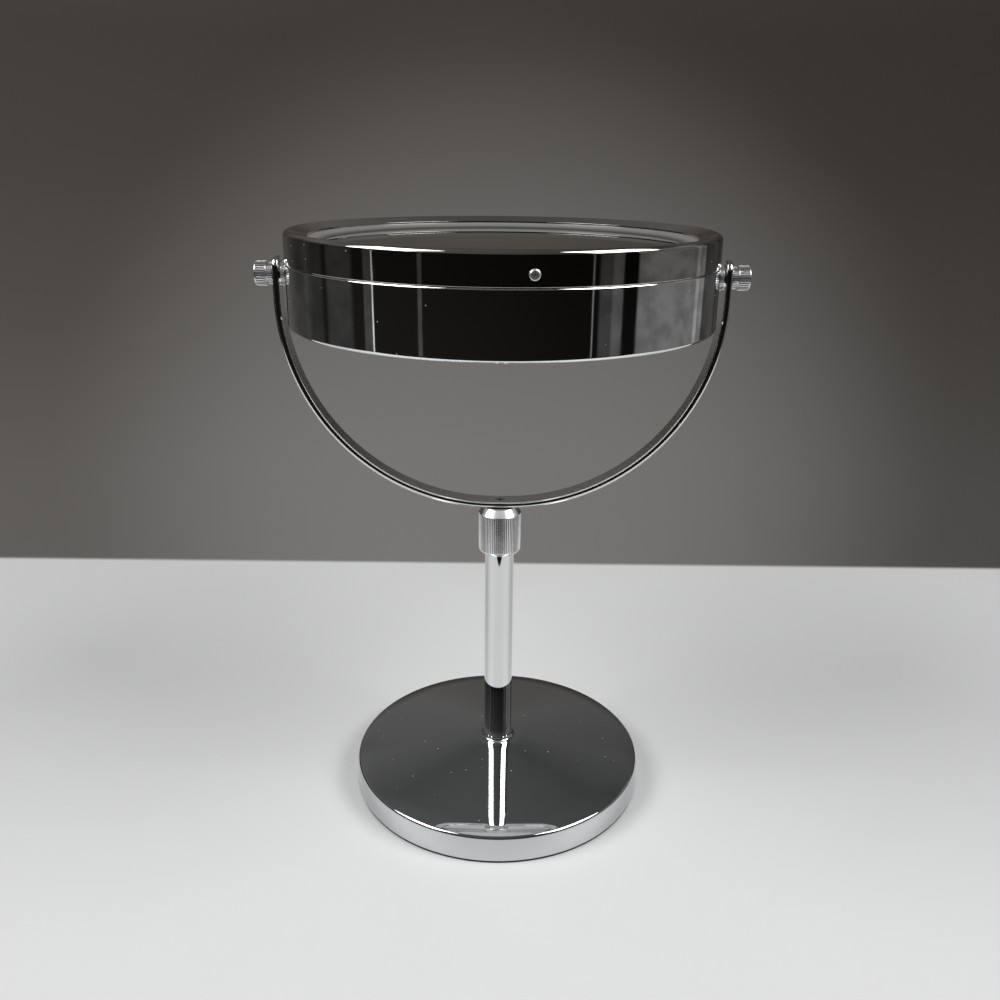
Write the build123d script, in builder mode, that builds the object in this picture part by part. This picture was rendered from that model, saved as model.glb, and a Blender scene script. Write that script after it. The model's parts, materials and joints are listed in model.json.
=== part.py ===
"""Lighted makeup mirror on a round foot: two-sided drum head in a U yoke, battery powered.

Frame: origin at the middle of the foot's underside, +Z up, +X along the pivot axis,
-Y towards the viewer. At rest the head lies flat with its lit mirror facing up.
"""

import os
from math import cos, radians, sin, sqrt, tan

from build123d import *

os.makedirs("parts", exist_ok=True)

# Clearances and overruns, millimetres
overrun = 2.0
fit_clearance = 0.05
running_clearance = 0.08
thread_clearance = 0.03
loose_clearance = 0.3

# Foot
base_diameter = 155.0
base_edge_height = 15.0
base_cone_angle = 7.0
base_rim_angle = 16.0
base_shoulder_width = 9.5
base_edge_radius = 2.0
base_wall = 1.4
base_inner_radius = 0.6
base_land_diameter = 32.0
base_flare_width = 2.0
base_flare_height = 1.9
base_flare_lip = 0.4
pad_thickness = 1.4
pad_inset = 0.4
weight_thickness = 6.0
weight_boss_diameter = 26.0
weight_root_radius = 3.0
weight_edge_chamfer = 0.8
stem_bolt_diameter = 8.0
stem_bolt_head_flats = 13.0
stem_bolt_head_height = 5.2
stem_bolt_grip = 15.0
stem_bolt_pocket_depth = 7.2
stem_washer_diameter = 16.0
stem_washer_thickness = 1.6

# Stem and collar
tube_diameter = 15.0
tube_wall = 1.2
tube_foot_chamfer = 0.4
plug_length = 22.0
insert_length = 18.0
insert_chamfer = 0.6
collar_diameter = 21.6
collar_height = 25.0
collar_tube_depth = 15.0
collar_bevel_height = 3.4
collar_bevel_width = 2.6
collar_foot_radius = 2.6
collar_foot_share = 0.9
collar_knurl_count = 72
collar_knurl_depth = 0.33

# Yoke
pivot_height = 274.5
yoke_swing_clearance = 9.6
yoke_flat_length = 7.0
strap_width = 11.6
strap_thickness = 3.3
strap_edge_radius = 1.0
arm_tip_height = 8.3
yoke_screw_diameter = 5.0
yoke_screw_head_diameter = 9.2
yoke_screw_head_height = 2.4
yoke_screw_grip = 12.0
yoke_screw_recess_width = 1.2
yoke_screw_recess_length = 5.0
yoke_screw_recess_depth = 1.3

# Pivots
pivot_bolt_diameter = 5.0
pivot_bolt_head_flats = 8.0
pivot_bolt_head_height = 3.5
pivot_seat_depth = 0.3
pivot_seat_diameter = 11.0
pivot_disc_diameter = 11.8
pivot_disc_thickness = 1.3
pivot_disc_chamfer = 0.25
spacer_knurl_count = 44
spacer_knurl_depth = 0.24
pivot_boss_diameter = 9.2
pivot_boss_length = 1.9
lock_ring_diameter = 10.4
lock_ring_thickness = 2.1
lock_ring_knurl_count = 40
lock_ring_knurl_depth = 0.24
knob_diameter = 11.6
knob_neck_diameter = 8.4
knob_neck_length = 0.6
knob_length = 6.4
knob_end_rise = 1.0
knob_end_chamfer = 0.5
knob_knurl_count = 36
knob_knurl_depth = 0.34
knob_end_wall = 1.6

# Head shells
head_diameter = 200.0
ring_height = 14.1
shell_wall = 2.0
bezel_width = 10.5
bezel_thickness = 2.0
bezel_slope = 17.5
ring_edge_radius = 2.5
housing_edge_radius = 1.6
bezel_lip_radius = 0.3
ring_seam_radius = 0.5
housing_seam_radius = 1.0
spigot_height = 2.2
spigot_wall = 1.6
spigot_root = 4.0
spigot_clearance = 0.15
pivot_block_width = 16.0
pivot_block_height = 11.6
pivot_block_depth = 4.5

# Ring lock screw and its tab
lock_screw_azimuth = -83.1
lock_screw_drop = 9.2
lock_screw_diameter = 2.5
lock_screw_point = 1.5
lock_screw_head_diameter = 4.6
lock_screw_head_height = 1.5
lock_screw_head_round = 0.9
lock_screw_seat_depth = 0.6
lock_screw_recess_length = 2.6
lock_screw_recess_width = 0.7
lock_screw_recess_depth = 0.9
lock_tab_sweep = 6.0
lock_tab_margin = 3.5
lock_tab_backing = 0.6

# Lit side
light_ring_width = 7.5
light_ring_inset = 0.65
light_ring_thickness = 2.6
glass_thickness = 3.0
glass_edge_chamfer = 0.3
glass_gap = 0.15
rim_clearance = 0.9
tape_thickness = 1.0
front_tape_inset = 6.5
front_tape_width = 20.0
tray_wall = 2.0
tray_channel_depth = 5.0
tray_mirror_ledge = 1.5
ear_count = 4
ear_first_azimuth = 45.0
ear_radius = 2.3
ear_thickness = 2.0
ring_boss_radius = 2.6
shell_boss_embed = 0.1
tray_screw_diameter = 2.2
tray_screw_length = 6.0
tray_screw_head_diameter = 4.2
tray_screw_head_height = 1.4
tray_screw_head_clearance = 0.5
led_board_thickness = 1.6
led_board_margin = 1.0
led_count = 30
led_length = 3.5
led_width = 2.8
led_height = 1.3

# Magnifying side
rear_mirror_thickness = 2.0
rear_mirror_sag = 5.0
rear_mirror_rim = 3.5
rear_tape_thickness = 0.8
rear_tape_inset = 0.3
chassis_clearance = 2.9
chassis_thickness = 2.0
chassis_rim_height = 1.5
chassis_notch_clearance = 0.8
chassis_screw_diameter = 2.2
chassis_screw_length = 8.0
chassis_screw_head_diameter = 4.2
chassis_screw_head_height = 1.4

# Batteries
cell_count = 4
cell_diameter = 14.5
cell_length = 50.5
cell_nub_diameter = 5.5
cell_nub_height = 1.0
cell_edge_radius = 0.6
cell_side_clearance = 0.15
cell_headroom = 0.4
box_wall = 1.6
box_partition = 0.6
box_floor = 1.2
box_height = 12.0
box_foot_length = 7.0
box_foot_thickness = 2.0
contact_thickness = 0.5
contact_width = 9.0
contact_height = 8.0
contact_spring_depth = 2.4
box_screw_diameter = 2.2
box_screw_head_diameter = 4.2
box_screw_head_height = 1.4

# Switch
switch_azimuth = 90.0
switch_drop = 2.0
switch_travel = 4.0
slider_length = 4.6
slider_height = 2.8
slider_reach = 1.8
slider_foot_depth = 2.0
slider_ridge_count = 4
slider_ridge_depth = 0.35
slider_ridge_pitch = 1.0
switch_body_length = 14.0
switch_body_height = 6.4
switch_body_depth = 5.5
switch_flange_margin = 0.5
switch_flange_thickness = 1.0
switch_pad_margin = 1.0
switch_pad_height = 8.2
switch_pad_depth = 2.8
switch_screw_clearance = 0.5
switch_screw_diameter = 1.6
switch_screw_length = 3.2
switch_screw_head_diameter = 3.0
switch_screw_head_height = 1.0

# Leads
lead_diameter = 1.4
lead_spacing = 6.0
lead_bend_radius = 6.0
lead_corner_distance = 20.0
lead_exit_spacing = 46.0
lead_hole_clearance = 0.4
lead_bend_share = 0.95

# Foot, worked out
base_radius = base_diameter / 2
land_radius = base_land_diameter / 2
cone_angle = radians(base_cone_angle)
rim_angle = radians(base_rim_angle)
shoulder_radius = base_shoulder_width / (sin(rim_angle) - sin(cone_angle))
shoulder_x = base_radius - shoulder_radius * sin(rim_angle)
shoulder_z = base_edge_height - shoulder_radius * cos(rim_angle)
cone_end_x = shoulder_x + shoulder_radius * sin(cone_angle)
cone_end_z = shoulder_z + shoulder_radius * cos(cone_angle)
weight_radius = base_radius - base_wall - loose_clearance
weight_top_z = pad_thickness + weight_thickness
land_z = cone_end_z + (cone_end_x - land_radius) * tan(cone_angle)
land_underside_z = land_z - base_wall
pocket_top_z = pad_thickness + stem_bolt_pocket_depth
bolt_head_top_z = pocket_top_z - stem_washer_thickness

# Head's depth, worked out from what it holds
rear_stack = bezel_thickness + rear_tape_thickness + rear_mirror_sag + rear_mirror_thickness
cell_stack = chassis_clearance + chassis_thickness + box_floor + cell_diameter + cell_side_clearance
head_radius = head_diameter / 2
opening_radius = head_radius - bezel_width
front_mirror_radius = opening_radius - light_ring_width
slope = radians(bezel_slope)
bezel_corner_rise = ring_edge_radius * (tan(slope) + 1 / cos(slope) - 1)
ring_fall = (bezel_width + light_ring_width) * tan(slope)
mirror_fall = ring_fall + light_ring_inset / cos(slope) - bezel_corner_rise
front_stack = tray_wall + tape_thickness + glass_thickness + mirror_fall
head_depth = rear_stack + cell_stack + cell_headroom + front_stack
head_swing_radius = sqrt(head_radius**2 + (head_depth / 2) ** 2)

# Stem and collar, worked out
tube_radius = tube_diameter / 2
tube_bore_radius = tube_radius - tube_wall
yoke_drop = head_swing_radius + yoke_swing_clearance
strap_underside_z = pivot_height - yoke_drop - strap_thickness
collar_bottom_z = strap_underside_z - collar_height
collar_bevel_z = strap_underside_z - collar_bevel_height
collar_radius = collar_diameter / 2
tube_top_z = collar_bottom_z + collar_tube_depth

# Pivot stations along X, from the head outwards to the yoke
pivot_seat_x = head_radius - pivot_seat_depth
spacer_x = pivot_seat_x + pivot_boss_length
washer_x = spacer_x + pivot_disc_thickness

# Yoke, worked out
arm_inner_x = washer_x + pivot_disc_thickness
arm_outer_x = arm_inner_x + strap_thickness
yoke_flat_half = yoke_flat_length / 2
yoke_inner_bend = arm_inner_x - yoke_flat_half
yoke_outer_bend = yoke_inner_bend + strap_thickness
strap_top_z = strap_underside_z + strap_thickness
bend_center_z = strap_top_z + yoke_inner_bend
arm_tip_z = pivot_height + arm_tip_height

# Head, worked out
shell_inner_radius = head_radius - shell_wall
ring_top_z = pivot_height + head_depth / 2
housing_bottom_z = pivot_height - head_depth / 2
seam_z = ring_top_z - ring_height
housing_floor_z = housing_bottom_z + bezel_thickness
spigot_outer_radius = shell_inner_radius - spigot_clearance
spigot_inner_radius = spigot_outer_radius - spigot_wall
spigot_top_z = seam_z + spigot_height
spigot_root_z = seam_z - spigot_root
pivot_block_inner_x = shell_inner_radius - pivot_block_depth
block_outer_x = shell_inner_radius + shell_wall / 2

# Pivot stations along X, from the yoke outwards
lock_ring_x = arm_outer_x
knob_x = lock_ring_x + lock_ring_thickness
knob_grip_x = knob_x + knob_neck_length
knob_end_x = knob_grip_x + knob_length
pivot_bolt_end_x = knob_end_x - knob_end_wall
pivot_hole_radius = pivot_bolt_diameter / 2 + running_clearance

# Lit side, worked out
light_ring_underside = light_ring_inset + light_ring_thickness
ear_circle_radius = shell_inner_radius - ring_boss_radius + shell_boss_embed
rim_radius = ear_circle_radius - ring_boss_radius - rim_clearance
glass_bottom_z = ring_top_z - mirror_fall - glass_thickness
plateau_top_z = glass_bottom_z - tape_thickness
plateau_bottom_z = plateau_top_z - tray_wall
channel_floor_z = glass_bottom_z - tray_channel_depth
tray_bottom_z = channel_floor_z - tray_wall
channel_inner_radius = front_mirror_radius + tray_wall
channel_outer_radius = rim_radius - tray_wall
ledge_inner_radius = front_mirror_radius - tray_mirror_ledge
led_circle_radius = (channel_inner_radius + channel_outer_radius) / 2
front_tape_outer_radius = ledge_inner_radius - front_tape_inset
front_tape_inner_radius = front_tape_outer_radius - front_tape_width
ear_reach = ear_circle_radius - channel_outer_radius
ear_bottom_z = spigot_top_z + tray_screw_head_height + tray_screw_head_clearance
ear_top_z = ear_bottom_z + ear_thickness

# Magnifying side, worked out
rear_mirror_front_z = housing_floor_z + rear_tape_thickness
rear_mirror_arc_radius = rim_radius - rear_mirror_rim
chassis_bottom_z = rear_mirror_front_z + rear_mirror_sag + rear_mirror_thickness + chassis_clearance
chassis_top_z = chassis_bottom_z + chassis_thickness
chassis_radius = spigot_inner_radius - loose_clearance
boss_circle_radius = shell_inner_radius - ring_boss_radius + shell_boss_embed

# Batteries, worked out
cell_radius = cell_diameter / 2
channel_radius = cell_radius + cell_side_clearance
cell_pitch = 2 * channel_radius + box_partition
cell_axis_z = chassis_top_z + box_floor + channel_radius
bay_length = cell_length + 2 * contact_thickness + contact_spring_depth
box_length = bay_length + 2 * box_wall
box_width = cell_count * cell_pitch - box_partition + 2 * box_wall
box_foot_x = box_width / 2 + box_foot_length / 2

# Switch, worked out
switch_screw_spacing = switch_body_length + switch_screw_head_diameter + 2 * switch_screw_clearance
switch_flange_length = switch_screw_spacing + switch_screw_head_diameter + 2 * switch_flange_margin
switch_pad_length = switch_flange_length + 2 * switch_pad_margin
switch_z = pivot_height - switch_drop
switch_pad_y = shell_inner_radius - switch_pad_depth
flange_back_y = switch_pad_y - switch_flange_thickness
switch_back_y = flange_back_y - switch_body_depth
slot_length = slider_length + switch_travel + 2 * loose_clearance
slot_height = slider_height + 2 * loose_clearance
slider_rest_x = -switch_travel / 2

# Leads, worked out
lead_radius = lead_diameter / 2
lead_hole_radius = lead_radius + lead_hole_clearance
lead_exit_x = lead_exit_spacing / 2
lead_bend_x = lead_spacing / 2
lead_box_y = box_length / 2
switch_lead_y = sqrt(led_circle_radius**2 - lead_bend_x**2)
battery_lead_y = sqrt(led_circle_radius**2 - lead_exit_x**2)


def write(piece, name):
    """Label a finished piece and write its file."""
    piece.part.label = name
    export_step(piece.part, f"parts/{name}.step")


def corner(sketch, x, y):
    """The corner of a sketch that lies nearest to a point."""
    return sketch.vertices().sort_by_distance((x, y))[0]


def bezel_z(radius, depth=0.0):
    """Height of the lit side's sloped face at a radius, or of the surface a depth below it."""
    return ring_top_z + bezel_corner_rise - (head_radius - radius) * tan(slope) - depth / cos(slope)


def pivot_plane(x):
    """Plane square to the pivot axis, at a station along it, facing outwards on the right."""
    return Plane(origin=(x, 0, pivot_height), x_dir=(0, 1, 0), z_dir=(1, 0, 0))


def radial_plane(azimuth):
    """Upright half plane through the head's axis: local x runs outwards, local y runs up."""
    turn = radians(azimuth)
    return Plane(origin=(0, 0, 0), x_dir=(cos(turn), sin(turn), 0), z_dir=(sin(turn), -cos(turn), 0))


def side_plane(azimuth, radius, z):
    """Plane square to a radius of the head, facing outwards."""
    turn = radians(azimuth)
    outward = Vector(cos(turn), sin(turn), 0)
    along = Vector(-sin(turn), cos(turn), 0)
    return Plane(origin=radius * outward + Vector(0, 0, z), x_dir=along, z_dir=outward)


def disc_pair(x, outer_diameter, thickness, edge):
    """Two like pierced discs, one on each pivot, with their inner faces at a station along X."""
    with BuildPart() as discs:
        with BuildSketch(pivot_plane(x)):
            Circle(outer_diameter / 2)
            Circle(pivot_hole_radius, mode=Mode.SUBTRACT)
        extrude(amount=thickness)
        rims = discs.edges().filter_by(GeomType.CIRCLE).sort_by(SortBy.RADIUS)[-2:]
        chamfer(rims, length=edge)
        mirror(about=Plane.YZ)
    return discs


def serrated_pair(x, outer_diameter, thickness, count, depth):
    """Two like pierced rings with serrated rims, one on each pivot, outwards from a station along X."""
    with BuildPart() as rings:
        with BuildSketch(pivot_plane(x)):
            Circle(outer_diameter / 2)
            Circle(pivot_hole_radius, mode=Mode.SUBTRACT)
            with PolarLocations(outer_diameter / 2, count):
                RegularPolygon(radius=depth, side_count=4, mode=Mode.SUBTRACT)
        extrude(amount=thickness)
        mirror(about=Plane.YZ)
    return rings


def headed_screws(places, under_head_z, direction, diameter, length, head_diameter, head_height):
    """Like pan-head screws along Z: their heads stand against the direction that the shanks take."""
    with BuildPart() as screws:
        with BuildSketch(Plane.XY.offset(under_head_z)):
            with Locations(*places):
                Circle(head_diameter / 2)
        extrude(amount=-direction * head_height)
        with BuildSketch(Plane.XY.offset(under_head_z)):
            with Locations(*places):
                Circle(diameter / 2)
        extrude(amount=direction * length)
    return screws


def ring_places(radius, count, first_azimuth):
    """Points spread evenly on a circle about the head's axis."""
    turns = [radians(first_azimuth + index * 360 / count) for index in range(count)]
    return [(radius * cos(turn), radius * sin(turn)) for turn in turns]


ear_places = ring_places(ear_circle_radius, ear_count, ear_first_azimuth)
boss_places = ring_places(boss_circle_radius, ear_count, ear_first_azimuth)
box_foot_places = [(-box_foot_x, 0), (box_foot_x, 0)]

# Foot: pressed cover, a shallow cone with a flat land, a flare round the stem and a short skirt
skirt_inner_radius = base_radius - base_wall
inner_shoulder_radius = shoulder_radius - base_wall
inner_rim_z = shoulder_z + sqrt(inner_shoulder_radius**2 - (skirt_inner_radius - shoulder_x) ** 2)
inner_cone_x = shoulder_x + inner_shoulder_radius * sin(cone_angle)
inner_cone_z = shoulder_z + inner_shoulder_radius * cos(cone_angle)
inner_land_radius = land_radius - base_wall * tan(cone_angle / 2)
flare_bore_radius = tube_radius + fit_clearance
flare_top_radius = flare_bore_radius + base_flare_lip
flare_radius = flare_top_radius + base_flare_width
flare_z = land_z + base_flare_height
bolt_hole_radius = stem_bolt_diameter / 2 + loose_clearance
cone_fall = (cos(cone_angle), -sin(cone_angle))
with BuildPart() as base_cover:
    with BuildSketch(Plane.XZ) as cover_section:
        with BuildLine():
            Polyline(
                (flare_top_radius, flare_z),
                (flare_bore_radius, flare_z),
                (flare_bore_radius, land_z),
                (bolt_hole_radius, land_z),
                (bolt_hole_radius, land_underside_z),
                (inner_land_radius, land_underside_z),
                (inner_cone_x, inner_cone_z),
            )
            TangentArc((inner_cone_x, inner_cone_z), (skirt_inner_radius, inner_rim_z), tangent=cone_fall)
            Polyline(
                (skirt_inner_radius, inner_rim_z),
                (skirt_inner_radius, pad_thickness),
                (base_radius, pad_thickness),
                (base_radius, base_edge_height),
            )
            TangentArc((cone_end_x, cone_end_z), (base_radius, base_edge_height), tangent=cone_fall)
            Polyline((cone_end_x, cone_end_z), (land_radius, land_z), (flare_radius, land_z))
            TangentArc((flare_radius, land_z), (flare_top_radius, flare_z), tangent=(-1, 0))
        make_face()
        fillet(corner(cover_section, base_radius, base_edge_height), radius=base_edge_radius)
        fillet(corner(cover_section, skirt_inner_radius, inner_rim_z), radius=base_inner_radius)
    revolve(axis=Axis.Z)
write(base_cover, "base_cover")

with BuildPart() as base_weight:
    with BuildSketch(Plane.XZ) as weight_section:
        with BuildLine():
            Polyline(
                (bolt_hole_radius, pad_thickness),
                (weight_radius, pad_thickness),
                (weight_radius, weight_top_z),
                (weight_boss_diameter / 2, weight_top_z),
                (weight_boss_diameter / 2, land_underside_z),
                (bolt_hole_radius, land_underside_z),
                close=True,
            )
        make_face()
        fillet(corner(weight_section, weight_boss_diameter / 2, weight_top_z), radius=weight_root_radius)
        chamfer(corner(weight_section, weight_radius, weight_top_z), length=weight_edge_chamfer)
    revolve(axis=Axis.Z)
    with BuildSketch(Plane.XY.offset(pad_thickness)):
        Circle(stem_washer_diameter / 2 + loose_clearance)
    extrude(amount=stem_bolt_pocket_depth, mode=Mode.SUBTRACT)
write(base_weight, "base_weight")

with BuildPart() as base_pad:
    with BuildSketch():
        Circle(base_radius - pad_inset)
    extrude(amount=pad_thickness)
write(base_pad, "base_pad")

with BuildPart() as stem_bolt:
    with BuildSketch(Plane.XY.offset(bolt_head_top_z)):
        RegularPolygon(radius=stem_bolt_head_flats / 2, side_count=6, major_radius=False)
    extrude(amount=-stem_bolt_head_height)
    with BuildSketch(Plane.XY.offset(bolt_head_top_z)):
        Circle(stem_bolt_diameter / 2)
    extrude(amount=land_z + stem_bolt_grip - bolt_head_top_z)
write(stem_bolt, "stem_bolt")

with BuildPart() as stem_washer:
    with BuildSketch(Plane.XY.offset(bolt_head_top_z)):
        Circle(stem_washer_diameter / 2)
        Circle(stem_bolt_diameter / 2 + fit_clearance, mode=Mode.SUBTRACT)
    extrude(amount=stem_washer_thickness)
write(stem_washer, "stem_washer")

# Stem: chrome tube with a threaded plug at its foot and a threaded insert at its top
with BuildPart() as stem_tube:
    with BuildSketch(Plane.XY.offset(land_z)):
        Circle(tube_radius)
        Circle(tube_bore_radius, mode=Mode.SUBTRACT)
    extrude(amount=tube_top_z - land_z)
    foot_edge = stem_tube.edges().group_by(Axis.Z)[0].sort_by(SortBy.RADIUS)[-1]
    chamfer(foot_edge, length=tube_foot_chamfer)
write(stem_tube, "stem_tube")


def tube_insert(bottom_z, length, bore_radius):
    """Turned insert that fills one end of the stem tube and takes a screw."""
    with BuildPart() as insert:
        with BuildSketch(Plane.XY.offset(bottom_z)):
            Circle(tube_bore_radius - thread_clearance)
            Circle(bore_radius, mode=Mode.SUBTRACT)
        extrude(amount=length)
        rims = insert.edges().filter_by(GeomType.CIRCLE).sort_by(SortBy.RADIUS)[-2:]
        chamfer(rims, length=insert_chamfer)
    return insert


stem_plug = tube_insert(land_z, plug_length, stem_bolt_diameter / 2 + thread_clearance)
write(stem_plug, "stem_plug")
insert_bore_radius = yoke_screw_diameter / 2 + thread_clearance
stem_insert = tube_insert(tube_top_z - insert_length, insert_length, insert_bore_radius)
write(stem_insert, "stem_insert")

# Collar: knurled hand nut with a polished bevel under the yoke
collar_bore_radius = tube_radius + running_clearance
collar_hole_radius = yoke_screw_diameter / 2 + loose_clearance
with BuildPart() as stem_collar:
    with BuildSketch(Plane.XZ) as collar_section:
        with BuildLine():
            Polyline(
                (collar_bore_radius, collar_bottom_z),
                (collar_radius, collar_bottom_z),
                (collar_radius, collar_bevel_z),
                (collar_radius - collar_bevel_width, strap_underside_z),
                (collar_hole_radius, strap_underside_z),
                (collar_hole_radius, tube_top_z),
                (collar_bore_radius, tube_top_z),
                close=True,
            )
        make_face()
        foot_radius = min(collar_foot_radius, collar_foot_share * (collar_radius - collar_bore_radius))
        fillet(corner(collar_section, collar_radius, collar_bottom_z), radius=foot_radius)
    revolve(axis=Axis.Z)
    with BuildSketch(Plane.XY.offset(collar_bottom_z)):
        with PolarLocations(collar_radius, collar_knurl_count):
            RegularPolygon(radius=collar_knurl_depth, side_count=4)
    extrude(amount=collar_bevel_z - collar_bottom_z, mode=Mode.SUBTRACT)
write(stem_collar, "stem_collar")

# Yoke: flat strap bent to a U, with rounded arm tips and softened edges
with BuildPart() as yoke_strap:
    with BuildSketch(Plane.XZ):
        with BuildLine():
            Line((arm_outer_x, arm_tip_z), (arm_outer_x, bend_center_z))
            RadiusArc((arm_outer_x, bend_center_z), (yoke_flat_half, strap_underside_z), yoke_outer_bend)
            Line((yoke_flat_half, strap_underside_z), (-yoke_flat_half, strap_underside_z))
            RadiusArc((-yoke_flat_half, strap_underside_z), (-arm_outer_x, bend_center_z), yoke_outer_bend)
            Polyline(
                (-arm_outer_x, bend_center_z),
                (-arm_outer_x, arm_tip_z),
                (-arm_inner_x, arm_tip_z),
                (-arm_inner_x, bend_center_z),
            )
            RadiusArc((-arm_inner_x, bend_center_z), (-yoke_flat_half, strap_top_z), -yoke_inner_bend)
            Line((-yoke_flat_half, strap_top_z), (yoke_flat_half, strap_top_z))
            RadiusArc((yoke_flat_half, strap_top_z), (arm_inner_x, bend_center_z), -yoke_inner_bend)
            Line((arm_inner_x, bend_center_z), (arm_inner_x, arm_tip_z))
            Line((arm_inner_x, arm_tip_z), (arm_outer_x, arm_tip_z))
        make_face()
    extrude(amount=strap_width / 2, both=True)
    tip_edges = yoke_strap.edges().filter_by(Axis.X).group_by(Axis.Z)[-1]
    fillet(tip_edges, radius=strap_width / 2 - fit_clearance)
    front_rims = yoke_strap.faces().sort_by(Axis.Y)[0].edges()
    back_rims = yoke_strap.faces().sort_by(Axis.Y)[-1].edges()
    fillet(front_rims + back_rims, radius=strap_edge_radius)
    with BuildSketch(pivot_plane(-arm_outer_x - overrun)):
        Circle(pivot_hole_radius)
    extrude(amount=2 * (arm_outer_x + overrun), mode=Mode.SUBTRACT)
    with BuildSketch(Plane.XY.offset(strap_underside_z - overrun)):
        Circle(yoke_screw_diameter / 2 + fit_clearance)
    extrude(amount=strap_thickness + 2 * overrun, mode=Mode.SUBTRACT)
    with Locations((0, 0, strap_top_z - yoke_screw_head_height)):
        Cone(
            yoke_screw_diameter / 2 + fit_clearance,
            yoke_screw_head_diameter / 2 + fit_clearance,
            yoke_screw_head_height,
            align=(Align.CENTER, Align.CENTER, Align.MIN),
            mode=Mode.SUBTRACT,
        )
write(yoke_strap, "yoke_strap")

with BuildPart() as yoke_screw:
    with BuildSketch(Plane.XY.offset(tube_top_z - yoke_screw_grip)):
        Circle(yoke_screw_diameter / 2)
    extrude(amount=strap_top_z - tube_top_z + yoke_screw_grip)
    with Locations((0, 0, strap_top_z - yoke_screw_head_height)):
        Cone(
            yoke_screw_diameter / 2,
            yoke_screw_head_diameter / 2,
            yoke_screw_head_height,
            align=(Align.CENTER, Align.CENTER, Align.MIN),
        )
    with BuildSketch(Plane.XY.offset(strap_top_z)):
        Rectangle(yoke_screw_recess_length, yoke_screw_recess_width)
        Rectangle(yoke_screw_recess_width, yoke_screw_recess_length)
    extrude(amount=-yoke_screw_recess_depth, mode=Mode.SUBTRACT)
write(yoke_screw, "yoke_screw")

# Pivots: bolts fixed in the head, discs, strap, serrated rings and thumb knobs
with BuildPart() as pivot_bolts:
    with BuildSketch(pivot_plane(pivot_block_inner_x)):
        RegularPolygon(radius=pivot_bolt_head_flats / 2, side_count=6, major_radius=False)
    extrude(amount=-pivot_bolt_head_height)
    with BuildSketch(pivot_plane(pivot_block_inner_x)):
        Circle(pivot_bolt_diameter / 2)
    extrude(amount=pivot_bolt_end_x - pivot_block_inner_x)
    mirror(about=Plane.YZ)
write(pivot_bolts, "pivot_bolts")

pivot_bosses = disc_pair(pivot_seat_x, pivot_boss_diameter, pivot_boss_length, pivot_disc_chamfer)
write(pivot_bosses, "pivot_bosses")
pivot_spacers = serrated_pair(
    spacer_x, pivot_disc_diameter, pivot_disc_thickness, spacer_knurl_count, spacer_knurl_depth
)
write(pivot_spacers, "pivot_spacers")
pivot_washers = disc_pair(washer_x, pivot_disc_diameter, pivot_disc_thickness, pivot_disc_chamfer)
write(pivot_washers, "pivot_washers")

pivot_lock_rings = serrated_pair(
    lock_ring_x, lock_ring_diameter, lock_ring_thickness, lock_ring_knurl_count, lock_ring_knurl_depth
)
write(pivot_lock_rings, "pivot_lock_rings")

knob_radius = knob_diameter / 2
knob_shoulder_x = knob_end_x - knob_end_rise
knob_axis = Axis((0, 0, pivot_height), (1, 0, 0))
with BuildPart() as pivot_knob_right:
    with BuildSketch(Plane.XZ) as knob_section:
        with BuildLine():
            Polyline(
                (knob_end_x, pivot_height),
                (knob_x, pivot_height),
                (knob_x, pivot_height + knob_neck_diameter / 2),
                (knob_grip_x, pivot_height + knob_neck_diameter / 2),
                (knob_grip_x, pivot_height + knob_radius),
                (knob_shoulder_x, pivot_height + knob_radius),
            )
            TangentArc(
                (knob_end_x, pivot_height),
                (knob_shoulder_x, pivot_height + knob_radius),
                tangent=(0, 1),
                tangent_from_first=True,
            )
        make_face()
        chamfer(corner(knob_section, knob_grip_x, pivot_height + knob_radius), length=knob_end_chamfer)
        fillet(corner(knob_section, knob_shoulder_x, pivot_height + knob_radius), radius=knob_end_chamfer)
    revolve(axis=knob_axis)
    with BuildSketch(pivot_plane(knob_grip_x)):
        with PolarLocations(knob_radius, knob_knurl_count):
            RegularPolygon(radius=knob_knurl_depth, side_count=4)
    extrude(amount=knob_shoulder_x - knob_end_chamfer - knob_grip_x, mode=Mode.SUBTRACT)
    with BuildSketch(pivot_plane(knob_x)):
        Circle(pivot_bolt_diameter / 2 + fit_clearance)
    extrude(amount=pivot_bolt_end_x + loose_clearance - knob_x, mode=Mode.SUBTRACT)
write(pivot_knob_right, "pivot_knob_right")

with BuildPart() as pivot_knob_left:
    mirror(pivot_knob_right.part, about=Plane.YZ)
write(pivot_knob_left, "pivot_knob_left")

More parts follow.
